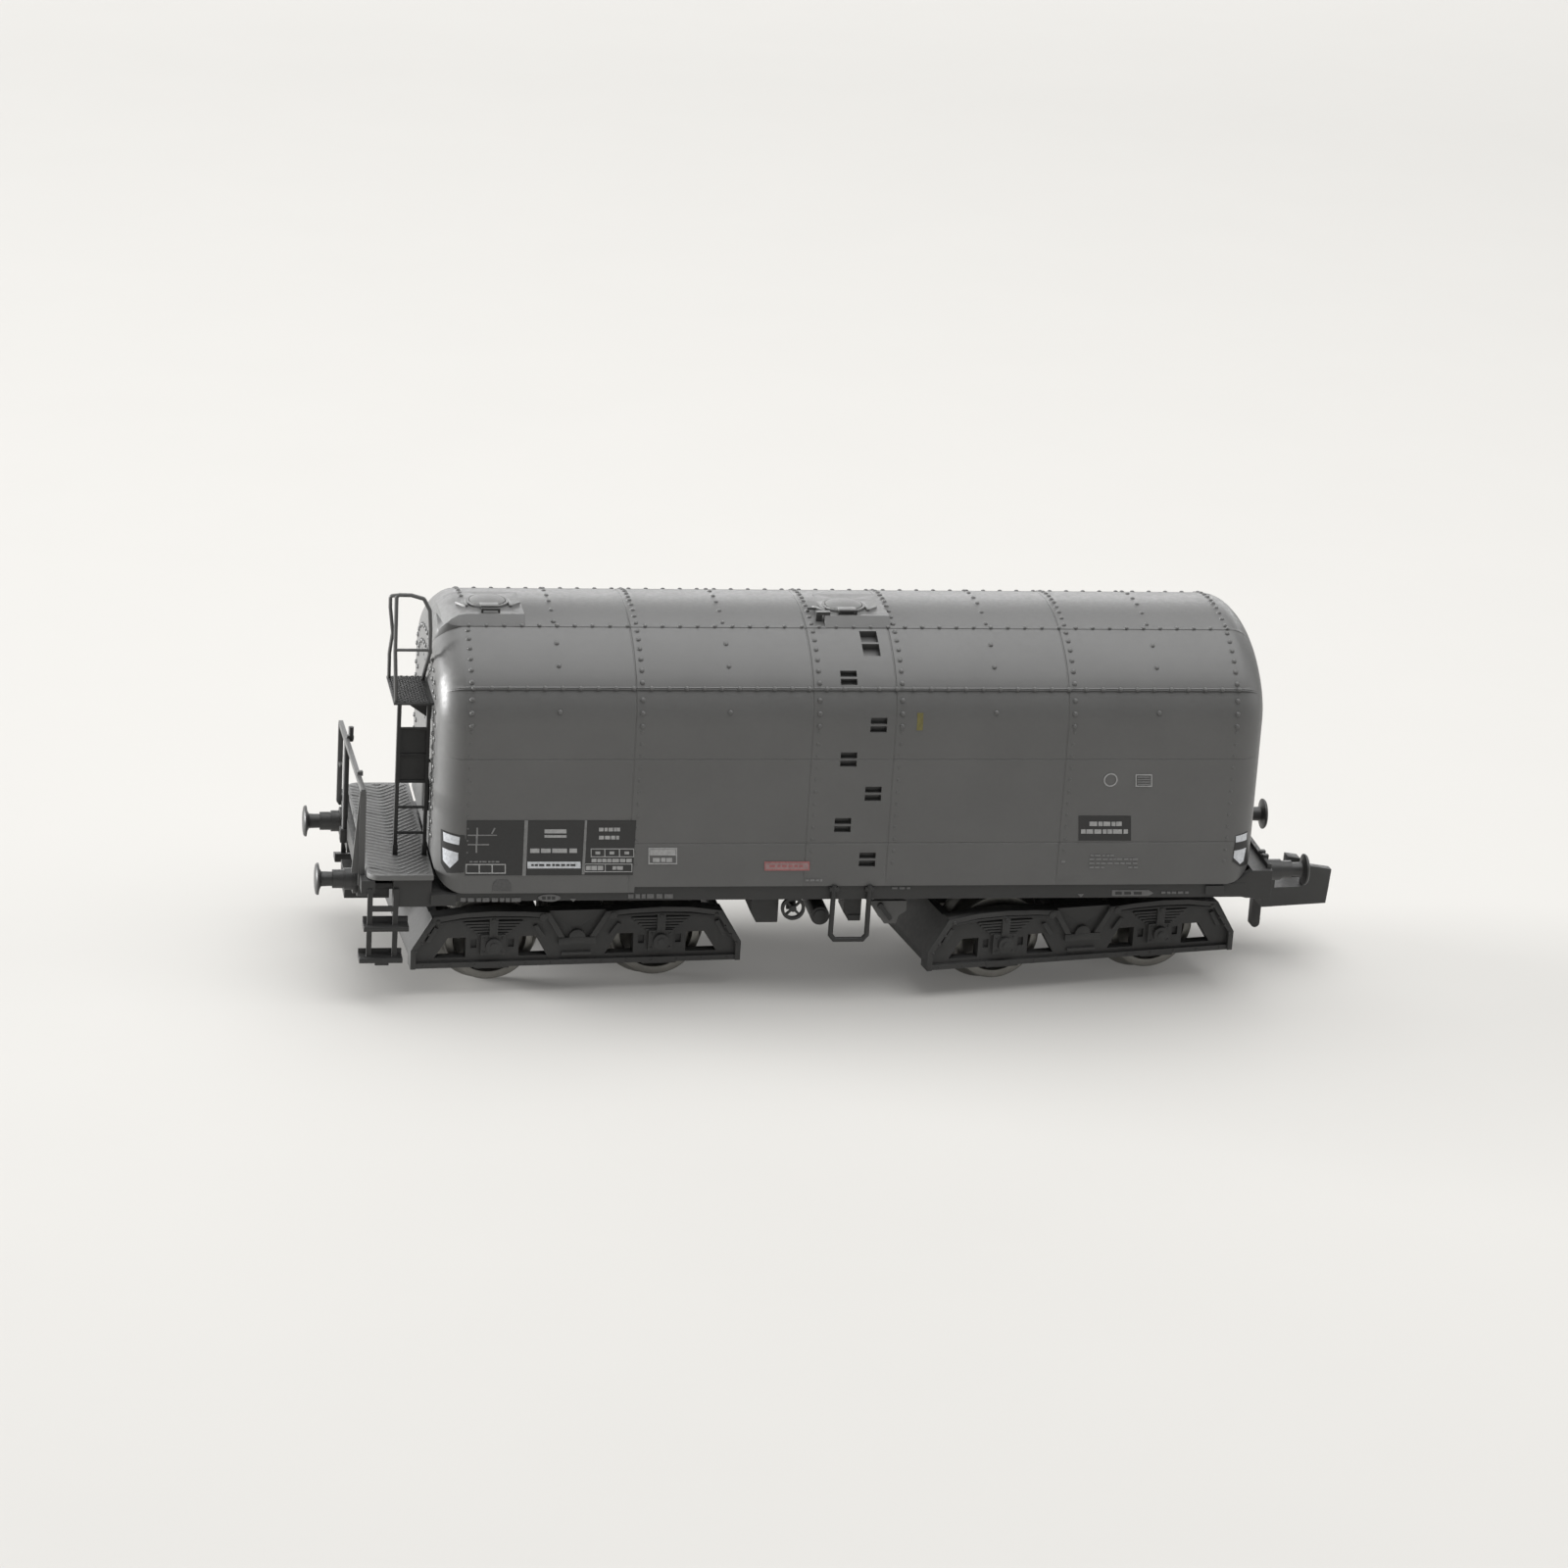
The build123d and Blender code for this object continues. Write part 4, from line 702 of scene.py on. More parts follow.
# Bars, dashes and panels by material, as (layer, face, outlines). An outline is a row of
# (distance along the side, height); past the ends of the tank's side the distance runs
# round the corner. Face "tank" is the tank side, "lower" the flat face below it.
MARKS = {
    "print_bright": [(2, "tank", (
        ((-20.13, 10), (-16.64, 9.99), (-16.61, 9.53), (-20.11, 9.54)),
        ((-25.78, 11.89), (-24.61, 11.71), (-24.64, 11.17), (-25.72, 11.28)),
        ((-25.78, 10.8), (-24.67, 10.62), (-24.67, 10.1), (-25.18, 9.5), (-25.71, 9.94)),
        ((27.46, 11.6), (28.42, 11.69), (28.43, 11.18), (27.48, 11.15)),
        ((27.44, 10.56), (28.47, 10.6), (28.31, 9.66), (27.99, 9.54), (27.42, 10.06)),
    ))],
    "print_dark": [(1, "tank", (
        ((-24.19, 12.88), (-13.1, 12.85), (-13.15, 9.04), (-24.18, 9.06)),
    )), (3, "tank", (
        ((-19.88, 9.84), (-19.71, 9.84), (-19.7, 9.7), (-19.87, 9.71)),
        ((-19.64, 9.84), (-19.44, 9.84), (-19.43, 9.7), (-19.64, 9.7)),
        ((-19.36, 9.84), (-19.02, 9.84), (-19.02, 9.7), (-19.35, 9.7)),
        ((-18.89, 9.84), (-18.61, 9.83), (-18.61, 9.7), (-18.89, 9.7)),
        ((-18.5, 9.84), (-18.33, 9.84), (-18.32, 9.7), (-18.49, 9.7)),
        ((-18.26, 9.84), (-18.01, 9.83), (-18, 9.69), (-18.26, 9.7)),
        ((-17.91, 9.83), (-17.65, 9.83), (-17.65, 9.7), (-17.91, 9.69)),
        ((-17.55, 9.83), (-17.36, 9.83), (-17.36, 9.69), (-17.55, 9.7)),
        ((-17.29, 9.83), (-16.97, 9.83), (-16.96, 9.69), (-17.29, 9.69)),
    )), (1, "tank", (
        ((-26.01, 12.01), (-24.29, 11.84), (-24.13, 11.04), (-24.25, 9.28), (-25.4, 9.12),
         (-25.9, 9.7)),
        ((27.45, 11.62), (28.46, 11.76), (28.94, 9.32), (28.03, 9.34), (27.39, 9.78),
         (27.39, 10.48), (27.44, 11.04)),
        ((16.53, 13.09), (20.1, 13.07), (20.25, 11.32), (16.67, 11.34)),
    )), (3, "lower", (
        ((-19.06, 7.51), (-18.81, 7.51), (-18.8, 7.3), (-19.05, 7.3)),
        ((-18.71, 7.51), (-18.5, 7.51), (-18.49, 7.3), (-18.7, 7.3)),
        ((-18.41, 7.51), (-18.18, 7.5), (-18.17, 7.3), (-18.4, 7.3)),
        ((19.52, 7.63), (19.96, 7.63), (19.98, 7.43), (19.54, 7.43)),
        ((20.13, 7.63), (20.6, 7.62), (20.62, 7.43), (20.15, 7.43)),
        ((20.79, 7.62), (21.33, 7.62), (21.35, 7.42), (20.8, 7.43)),
    ))],
    "print_grey": [(2, "tank", (
        ((-20.43, 12.87), (-20.2, 12.87), (-20.2, 9.02), (-20.43, 9.02)),
        ((-16.48, 12.86), (-16.33, 12.86), (-16.34, 9.1), (-16.52, 9.1)),
        ((-24.11, 11.9), (-22.21, 11.89), (-22.2, 11.82), (-24.11, 11.82)),
        ((-24.08, 11.25), (-22.69, 11.25), (-22.69, 11.16), (-24.08, 11.17)),
        ((-23.56, 12.37), (-23.45, 12.38), (-23.43, 11.9), (-23.55, 11.9)),
        ((-23.57, 11.82), (-23.45, 11.82), (-23.44, 11.25), (-23.55, 11.25)),
        ((-23.57, 11.16), (-23.46, 11.16), (-23.44, 10.64), (-23.55, 10.64)),
        ((-22.59, 11.95), (-22.4, 12.37), (-22.3, 12.35), (-22.49, 11.95)),
        ((-23.91, 10.07), (-23.72, 10.06), (-23.72, 9.97), (-23.91, 9.97)),
        ((-23.64, 10.06), (-23.37, 10.06), (-23.37, 9.96), (-23.64, 9.97)),
        ((-23.27, 10.06), (-23.14, 10.06), (-23.13, 9.97), (-23.27, 9.96)),
        ((-23.08, 10.06), (-22.81, 10.06), (-22.81, 9.96), (-23.07, 9.97)),
        ((-22.71, 10.06), (-22.54, 10.06), (-22.54, 9.96), (-22.7, 9.96)),
        ((-22.48, 10.06), (-22.3, 10.06), (-22.29, 9.96), (-22.48, 9.96)),
        ((-22.22, 10.06), (-21.97, 10.05), (-21.97, 9.96), (-22.22, 9.96)),
        ((20.31, 15.86), (21.17, 15.86), (21.18, 15.78), (20.31, 15.78)),
        ((20.32, 15.69), (21.19, 15.69), (21.2, 15.61), (20.32, 15.61)),
        ((20.33, 15.52), (21.2, 15.52), (21.21, 15.44), (20.34, 15.44)),
        ((20.35, 15.36), (21.22, 15.36), (21.23, 15.27), (20.35, 15.28)),
        ((17.56, 10.34), (17.77, 10.34), (17.78, 10.23), (17.56, 10.23)),
        ((17.85, 10.34), (18.23, 10.34), (18.24, 10.23), (17.86, 10.23)),
        ((18.37, 10.34), (18.57, 10.34), (18.58, 10.22), (18.38, 10.23)),
        ((18.66, 10.34), (18.85, 10.34), (18.86, 10.22), (18.66, 10.22)),
        ((18.93, 10.34), (19.17, 10.33), (19.17, 10.23), (18.94, 10.23)),
        ((17.51, 10.08), (17.85, 10.07), (17.85, 9.97), (17.52, 9.96)),
        ((17.97, 10.07), (18.31, 10.08), (18.31, 9.96), (17.98, 9.97)),
        ((18.43, 10.07), (18.76, 10.07), (18.77, 9.96), (18.45, 9.96)),
        ((18.89, 10.07), (19.09, 10.07), (19.1, 9.96), (18.89, 9.96)),
        ((19.17, 10.07), (19.33, 10.07), (19.34, 9.96), (19.18, 9.96)),
        ((19.39, 10.07), (19.75, 10.07), (19.76, 9.95), (19.41, 9.96)),
        ((19.88, 10.07), (20.17, 10.06), (20.18, 9.96), (19.89, 9.95)),
        ((20.27, 10.06), (20.43, 10.07), (20.43, 9.95), (20.28, 9.96)),
        ((20.48, 10.07), (20.83, 10.06), (20.84, 9.95), (20.49, 9.95)),
        ((17.53, 9.79), (17.88, 9.78), (17.89, 9.67), (17.54, 9.67)),
        ((18.01, 9.78), (18.24, 9.78), (18.25, 9.67), (18.02, 9.67)),
        ((18.33, 9.78), (18.65, 9.78), (18.66, 9.67), (18.34, 9.67)),
        ((18.77, 9.78), (19.12, 9.78), (19.13, 9.66), (18.78, 9.67)),
        ((19.25, 9.78), (19.55, 9.77), (19.56, 9.66), (19.26, 9.67)),
        ((19.67, 9.78), (19.95, 9.77), (19.95, 9.66), (19.68, 9.66)),
        ((20.05, 9.77), (20.38, 9.77), (20.39, 9.66), (20.06, 9.66)),
        ((20.51, 9.77), (20.82, 9.77), (20.83, 9.66), (20.52, 9.66)),
        ((17.56, 9.49), (17.84, 9.49), (17.85, 9.38), (17.56, 9.38)),
        ((17.95, 9.49), (18.25, 9.49), (18.26, 9.37), (17.95, 9.38)),
        ((18.37, 9.49), (18.58, 9.48), (18.59, 9.38), (18.38, 9.37)),
        ((20.21, 9.48), (20.5, 9.48), (20.5, 9.36), (20.22, 9.37)),
        ((20.61, 9.48), (20.87, 9.47), (20.88, 9.36), (20.62, 9.37)),
        ((15.61, 9.89), (15.85, 9.89), (15.86, 9.77), (15.62, 9.77)),
        ((-1.61, 8.68), (-1.4, 8.68), (-1.39, 8.54), (-1.6, 8.54)),
        ((-1.31, 8.68), (-1.02, 8.68), (-1.02, 8.54), (-1.3, 8.54)),
        ((-0.92, 8.67), (-0.72, 8.67), (-0.71, 8.54), (-0.91, 8.54)),
        ((-0.65, 8.68), (-0.49, 8.68), (-0.48, 8.53), (-0.64, 8.53)),
    ))],
    "print_pink": [(1, "tank", (
        ((-4.45, 9.94), (-1.43, 9.93), (-1.39, 9.3), (-4.41, 9.31)),
    ))],
    "print_red": [(2, "tank", (
        ((-4.45, 9.94), (-1.43, 9.93), (-1.42, 9.84), (-4.44, 9.85)),
        ((-4.41, 9.4), (-1.39, 9.39), (-1.39, 9.3), (-4.41, 9.31)),
        ((-4.44, 9.85), (-4.36, 9.85), (-4.33, 9.4), (-4.41, 9.4)),
        ((-1.51, 9.84), (-1.42, 9.84), (-1.39, 9.39), (-1.48, 9.39)),
        ((-4.1, 9.71), (-3.71, 9.7), (-3.7, 9.54), (-4.09, 9.54)),
        ((-3.56, 9.7), (-3.35, 9.71), (-3.34, 9.54), (-3.55, 9.54)),
        ((-3.26, 9.71), (-2.94, 9.7), (-2.93, 9.54), (-3.25, 9.54)),
        ((-2.82, 9.7), (-2.55, 9.7), (-2.54, 9.54), (-2.81, 9.53)),
        ((-2.44, 9.7), (-2.21, 9.7), (-2.2, 9.53), (-2.43, 9.54)),
        ((-2.12, 9.7), (-1.85, 9.7), (-1.84, 9.53), (-2.11, 9.53)),
    ))],
    "print_white": [(2, "tank", (
        ((-24.17, 9.86), (-21.55, 9.85), (-21.54, 9.78), (-24.16, 9.79)),
        ((-24.14, 9.26), (-21.52, 9.25), (-21.52, 9.18), (-24.14, 9.19)),
        ((-24.16, 9.79), (-24.1, 9.79), (-24.08, 9.26), (-24.14, 9.26)),
        ((-21.61, 9.78), (-21.54, 9.78), (-21.52, 9.25), (-21.59, 9.25)),
        ((-23.31, 9.79), (-23.24, 9.79), (-23.22, 9.25), (-23.29, 9.25)),
        ((-22.47, 9.79), (-22.39, 9.79), (-22.37, 9.25), (-22.45, 9.25)),
        ((-19.1, 12.25), (-17.67, 12.25), (-17.65, 11.97), (-19.09, 11.98)),
        ((-19.09, 11.85), (-17.64, 11.84), (-17.64, 11.67), (-19.08, 11.68)),
        ((-19.98, 10.92), (-19.38, 10.92), (-19.37, 10.62), (-19.98, 10.62)),
        ((-19.28, 10.92), (-18.65, 10.91), (-18.63, 10.62), (-19.27, 10.62)),
        ((-18.54, 10.92), (-17.57, 10.91), (-17.56, 10.61), (-18.53, 10.62)),
        ((-17.41, 10.91), (-16.91, 10.91), (-16.9, 10.61), (-17.4, 10.61)),
        ((-15.53, 12.35), (-15.24, 12.35), (-15.23, 12.11), (-15.52, 12.1)),
        ((-15.17, 12.35), (-14.96, 12.35), (-14.95, 12.1), (-15.16, 12.11)),
        ((-14.9, 12.35), (-14.61, 12.35), (-14.6, 12.1), (-14.89, 12.1)),
        ((-14.54, 12.35), (-14.4, 12.35), (-14.39, 12.1), (-14.53, 12.1)),
        ((-14.37, 12.35), (-14.14, 12.35), (-14.13, 12.1), (-14.36, 12.1)),
        ((-15.5, 11.79), (-15.18, 11.79), (-15.17, 11.55), (-15.5, 11.54)),
        ((-15.1, 11.79), (-14.78, 11.79), (-14.77, 11.54), (-15.1, 11.55)),
        ((-14.71, 11.79), (-14.45, 11.79), (-14.43, 11.54), (-14.7, 11.54)),
        ((-14.38, 11.79), (-14.17, 11.79), (-14.17, 11.54), (-14.37, 11.54)),
        ((-16.01, 10.91), (-13.15, 10.9), (-13.15, 10.84), (-16.01, 10.85)),
        ((-15.98, 10.36), (-13.12, 10.34), (-13.12, 10.29), (-15.98, 10.3)),
        ((-16.01, 10.85), (-15.95, 10.85), (-15.93, 10.36), (-15.98, 10.36)),
        ((-13.2, 10.84), (-13.15, 10.84), (-13.12, 10.34), (-13.17, 10.34)),
        ((-15.11, 10.84), (-15.05, 10.85), (-15.02, 10.36), (-15.09, 10.36)),
        ((-14.15, 10.84), (-14.08, 10.84), (-14.05, 10.35), (-14.12, 10.35)),
        ((-15.69, 10.7), (-15.38, 10.7), (-15.37, 10.5), (-15.68, 10.51)),
        ((-14.76, 10.7), (-14.45, 10.7), (-14.44, 10.5), (-14.75, 10.5)),
        ((-13.78, 10.69), (-13.47, 10.69), (-13.46, 10.5), (-13.76, 10.5)),
        ((-15.92, 10.19), (-15.6, 10.19), (-15.59, 9.95), (-15.91, 9.95)),
        ((-15.54, 10.19), (-15.27, 10.19), (-15.26, 9.95), (-15.53, 9.95)),
        ((-15.22, 10.19), (-14.95, 10.19), (-14.93, 9.94), (-15.21, 9.94)),
        ((-14.89, 10.19), (-14.62, 10.19), (-14.6, 9.94), (-14.89, 9.94)),
        ((-14.56, 10.19), (-14.12, 10.18), (-14.11, 9.94), (-14.55, 9.94)),
        ((-14.04, 10.19), (-13.69, 10.18), (-13.68, 9.94), (-14.03, 9.94)),
        ((-13.63, 10.18), (-13.27, 10.18), (-13.26, 9.94), (-13.62, 9.93)),
        ((-16.37, 9.85), (-13.21, 9.84), (-13.21, 9.78), (-16.37, 9.8)),
        ((-16.35, 9.32), (-13.19, 9.3), (-13.19, 9.25), (-16.34, 9.26)),
        ((-16.37, 9.8), (-16.32, 9.8), (-16.3, 9.32), (-16.35, 9.32)),
        ((-13.27, 9.79), (-13.21, 9.78), (-13.19, 9.3), (-13.24, 9.3)),
        ((-16.26, 9.7), (-15.95, 9.7), (-15.94, 9.4), (-16.25, 9.4)),
        ((-15.92, 9.7), (-15.54, 9.7), (-15.53, 9.39), (-15.9, 9.4)),
        ((-15.49, 9.7), (-15.14, 9.69), (-15.13, 9.4), (-15.48, 9.39)),
        ((-15.02, 9.79), (-14.98, 9.79), (-14.95, 9.31), (-15.01, 9.31)),
        ((-14.51, 9.66), (-14.28, 9.67), (-14.27, 9.42), (-14.51, 9.42)),
        ((-14.23, 9.67), (-13.83, 9.66), (-13.83, 9.41), (-14.21, 9.42)),
        ((-12.2, 10.93), (-10.3, 10.93), (-10.3, 10.84), (-12.2, 10.85)),
        ((-12.16, 9.88), (-10.25, 9.86), (-10.24, 9.79), (-12.15, 9.79)),
        ((-12.2, 10.85), (-12.13, 10.85), (-12.07, 9.88), (-12.16, 9.88)),
        ((-10.37, 10.84), (-10.3, 10.84), (-10.25, 9.86), (-10.32, 9.87)),
        ((-12.1, 10.82), (-10.4, 10.82), (-10.37, 10.4), (-12.08, 10.41)),
        ((-11.88, 10.23), (-11.41, 10.23), (-11.4, 9.94), (-11.87, 9.94)),
        ((-11.33, 10.23), (-11.04, 10.23), (-11.02, 9.94), (-11.31, 9.94)),
        ((-10.99, 10.22), (-10.6, 10.22), (-10.58, 9.94), (-10.97, 9.94)),
        *ring_mark(18.5, 15.62, outer=0.47, inner=0.39),
        ((20.16, 16.01), (21.3, 16.01), (21.3, 15.94), (20.16, 15.94)),
        ((20.23, 15.22), (21.36, 15.22), (21.37, 15.15), (20.23, 15.15)),
        ((20.16, 15.94), (20.23, 15.94), (20.29, 15.22), (20.23, 15.22)),
        ((21.23, 15.94), (21.3, 15.94), (21.36, 15.22), (21.29, 15.22)),
        ((17.3, 12.68), (17.81, 12.68), (17.84, 12.37), (17.32, 12.38)),
        ((17.91, 12.68), (18.19, 12.68), (18.22, 12.37), (17.93, 12.37)),
        ((18.25, 12.68), (18.72, 12.67), (18.74, 12.37), (18.27, 12.37)),
        ((18.81, 12.67), (19.07, 12.67), (19.1, 12.37), (18.84, 12.37)),
        ((19.12, 12.67), (19.5, 12.68), (19.52, 12.37), (19.15, 12.37)),
        ((16.77, 12.14), (17.07, 12.14), (17.1, 11.84), (16.79, 11.84)),
        ((17.13, 12.14), (17.58, 12.14), (17.61, 11.83), (17.15, 11.84)),
        ((17.67, 12.14), (18.15, 12.13), (18.18, 11.83), (17.69, 11.83)),
        ((18.25, 12.13), (18.52, 12.14), (18.54, 11.83), (18.28, 11.83)),
        ((18.57, 12.14), (18.88, 12.14), (18.91, 11.83), (18.59, 11.83)),
        ((18.94, 12.14), (19.56, 12.13), (19.59, 11.82), (18.97, 11.83)),
        ((19.68, 12.13), (19.97, 12.13), (19.99, 11.83), (19.7, 11.82)),
    ))],
    "print_worn": [(2, "lower", (
        ((-24.4, 7.44), (-24.05, 7.44), (-24.04, 7.16), (-24.39, 7.16)),
        ((-23.92, 7.43), (-23.51, 7.43), (-23.5, 7.16), (-23.91, 7.16)),
        ((-23.35, 7.43), (-23.06, 7.43), (-23.05, 7.15), (-23.34, 7.16)),
        ((-22.95, 7.43), (-22.52, 7.43), (-22.51, 7.15), (-22.94, 7.15)),
        ((-22.35, 7.43), (-21.96, 7.42), (-21.95, 7.15), (-22.34, 7.15)),
        ((-21.81, 7.42), (-21.54, 7.42), (-21.53, 7.15), (-21.8, 7.15)),
        ((-21.44, 7.42), (-21.16, 7.42), (-21.15, 7.14), (-21.43, 7.14)),
        ((-21.05, 7.42), (-20.45, 7.41), (-20.44, 7.14), (-21.04, 7.14)),
        ((-17.82, 7.4), (-17.86, 7.31), (-17.99, 7.23), (-18.19, 7.17), (-18.43, 7.14),
         (-18.69, 7.15), (-18.93, 7.18), (-19.13, 7.24), (-19.26, 7.32), (-19.31, 7.41),
         (-19.27, 7.5), (-19.14, 7.57), (-18.95, 7.63), (-18.71, 7.66), (-18.45, 7.66),
         (-18.2, 7.63), (-18, 7.57), (-17.87, 7.49)),
        ((-17.24, 7.36), (-16.79, 7.34), (-16.97, 7.12)),
        ((-13.36, 7.65), (-13.01, 7.65), (-13, 7.34), (-13.35, 7.34)),
        ((-12.88, 7.65), (-12.58, 7.64), (-12.57, 7.33), (-12.86, 7.34)),
        ((-12.47, 7.64), (-12.21, 7.64), (-12.2, 7.33), (-12.45, 7.33)),
        ((-12.11, 7.64), (-11.66, 7.64), (-11.65, 7.33), (-12.1, 7.33)),
        ((-11.49, 7.64), (-11.1, 7.64), (-11.09, 7.32), (-11.47, 7.33)),
        ((-10.96, 7.63), (-10.39, 7.63), (-10.38, 7.32), (-10.94, 7.32)),
        ((4.26, 8.04), (4.63, 8.03), (4.64, 7.89), (4.27, 7.9)),
        ((4.78, 8.03), (5.14, 8.03), (5.15, 7.89), (4.79, 7.89)),
        ((5.28, 8.03), (5.5, 8.03), (5.51, 7.89), (5.29, 7.89)),
        ((16.94, 7.48), (17.38, 7.47), (17.18, 7.23)),
        ((19.28, 7.74), (21.81, 7.73), (22.16, 7.52), (21.84, 7.31), (19.31, 7.32)),
        ((22.69, 7.63), (22.98, 7.62), (22.99, 7.46), (22.71, 7.46)),
        ((23.09, 7.62), (23.32, 7.62), (23.34, 7.45), (23.11, 7.45)),
        ((23.41, 7.62), (23.72, 7.62), (23.73, 7.45), (23.43, 7.45)),
        ((23.84, 7.62), (24.2, 7.62), (24.21, 7.45), (23.85, 7.45)),
        ((24.34, 7.62), (24.57, 7.62), (24.58, 7.45), (24.35, 7.45)),
    ))],
    "print_yellow": [(2, "tank", (
        ((5.14, 20.25), (5.55, 20.25), (5.55, 19.09), (5.14, 19.09)),
    ))],
    "tank_patch": [(1, "tank", (
        ((-22.35, 7.97), (-22.32, 8.51), (-22.09, 8.74), (-21.38, 8.74), (-21.15, 8.47),
         (-21.09, 7.96)),
    ))],
}


def side_point(along, z, face):
    """Near-side point and outward normal of an unrolled position."""
    if face == "lower":
        return Vector((along, LOWER_FACE_Y, z)), Vector((0, -1, 0))
    for start, end in ((CURVE_X0, -1), (CURVE_X1, 1)):
        a = end * (along - start) / CORNER_R
        if a > 0:
            x = start + end * CORNER_R * math.sin(a)
            y = -(HALF_WIDTH - CORNER_R + CORNER_R * math.cos(a))
            return Vector((x, y, z)), Vector((end * math.sin(a), -math.cos(a), 0))
    if z > SPRING_Z:
        y, _, normal = arch(height_angle(z))
        return Vector((along, y, z)), normal
    return Vector((along, -HALF_WIDTH, z)), Vector((0, -1, 0))


def clip(outline, low, high):
    """Part of an outline between two distances along the side."""
    for sign, limit in ((1, low), (-1, -high)):
        kept = []
        for i, p in enumerate(outline):
            q = outline[(i + 1) % len(outline)]
            a, b = sign * p[0] - limit, sign * q[0] - limit
            if a >= 0:
                kept.append(p)
            if (a > 0 > b) or (a < 0 < b):
                f = a / (a - b)
                kept.append((p[0] + f * (q[0] - p[0]), p[1] + f * (q[1] - p[1])))
        outline = kept
        if len(outline) < 3:
            return []
    return outline


def add_mark(bm, outline, face, layer, side):
    """Thin slab of one mark, cut into strips where it goes round a corner."""
    start, end = min(p[0] for p in outline), max(p[0] for p in outline)
    cuts = [start - 1, end + 1]
    if face == "tank" and (start < CURVE_X0 or end > CURVE_X1):
        cuts += list(np.arange(TANK_X0 - 1.2, CURVE_X0 + 0.01, 0.12))
        cuts += list(np.arange(CURVE_X1, TANK_X1 + 1.21, 0.12))
    cuts = sorted({round(float(cut), 4) for cut in cuts})
    for low, high in zip(cuts[:-1], cuts[1:]):
        part = clip(outline, low, high)
        if len(part) < 3 or max(p[0] for p in part) - min(p[0] for p in part) < 1e-4:
            continue
        top, foot = [], []
        for along, z in part:
            point, normal = side_point(along, z, face)
            for verts, height in ((top, LAYER_HEIGHT[layer]), (foot, -MARK_SINK)):
                q = point + normal * height
                verts.append(bm.verts.new(Vector((q.x, q.y * side, q.z)) * MM))
        bm.faces.new(top)
        bm.faces.new(list(reversed(foot)))
        for i in range(len(part)):
            j = (i + 1) % len(part)
            bm.faces.new((top[i], foot[i], foot[j], top[j]))


for material, groups in MARKS.items():
    bm = bmesh.new()
    for side in (1, -1):            # near side, then its mirror on the far side
        for layer, face, outlines in groups:
            for outline in outlines:
                add_mark(bm, outline, face, layer, side)
    finish_mesh("marks_" + material.replace("print_", ""), bm, material,
                sharp_angle=25)

# ----------------------------------------------------------------- deck ribs
RIB_X0, RIB_X1, RIB_STEP = -30.35, -26.45, 0.13
RIB_PITCH, RIB_LIMIT_Y = 0.6, 8.6
RIB_HALF_W, RIB_H, RIB_SINK = 0.13, 0.05, 0.04
CHEVRON_X, CHEVRON_BEND = -28.5, 0.3


def rib_drift(x):
    """Sideways drift of a rib across the deck: a soft chevron."""
    d = x - CHEVRON_X
    return -0.6 * min(d, 0) + 1.1 * (math.sqrt(max(d, 0) ** 2 + CHEVRON_BEND ** 2) - CHEVRON_BEND)


def add_rib(bm, run, top):
    """Raised rib through (x, y) points, lower at both ends."""
    profile = ((-RIB_HALF_W, -RIB_SINK), (-RIB_HALF_W * 0.55, RIB_H),
               (RIB_HALF_W * 0.55, RIB_H), (RIB_HALF_W, -RIB_SINK))
    previous = None
    for i, (x, y) in enumerate(run):
        taper = 1.0 if 0 < i < len(run) - 1 else 0.4
        ring = [bm.verts.new(Vector((x, y + dy, top + dz * taper)) * MM) for dy, dz in profile]
        if previous:
            bridge(bm, previous, ring)
        else:
            bm.faces.new(ring)
        previous = ring
    bm.faces.new(list(reversed(previous)))


def build_deck_ribs():
    deck = nodes["platform_deck"]
    top = max(v.co.z for v in deck.data.vertices) / MM + deck.location.z / MM
    bm = bmesh.new()
    for k in range(-18, 19):
        run = []
        for x in np.arange(RIB_X0, RIB_X1 + 0.01, RIB_STEP):
            y = RIB_PITCH * k + rib_drift(x)
            on_deck = -RIB_LIMIT_Y < y < RIB_LIMIT_Y
            if on_deck:
                run.append((float(x), y))
            # A rib is made where it leaves the deck or reaches the tank end.
            if (not on_deck or x > RIB_X1 - RIB_STEP) and len(run) > 2:
                add_rib(bm, run, top)
            if not on_deck:
                run = []
    finish_mesh("deck_ribs", bm, "deck_grey", sharp_angle=35)


build_deck_ribs()

# ------------------------------------------------------------- landing tread
TREAD_PITCH, TREAD_SLOPE, TREAD_MARGIN = 0.34, 0.9, 0.08
TREAD_HALF_W, TREAD_H, TREAD_SINK = 0.045, 0.045, 0.04


def add_tread_bar(bm, start, end, top):
    """Raised bar of trapezoid section between two (x, y) points."""
    direction = Vector((end[0] - start[0], end[1] - start[1], 0)).normalized()
    across = Vector((-direction.y, direction.x, 0)) * TREAD_HALF_W
    low, high = Vector((0, 0, -TREAD_SINK)), Vector((0, 0, TREAD_H))
    rings = []
    for point in (start, end):
        centre = Vector((*point, top))
        rings.append([bm.verts.new((centre + across * side + level) * MM)
                      for side, level in ((-1, low), (-0.6, high), (0.6, high), (1, low))])
    bm.faces.new(rings[0])
    bm.faces.new(list(reversed(rings[1])))
    bridge(bm, *rings)


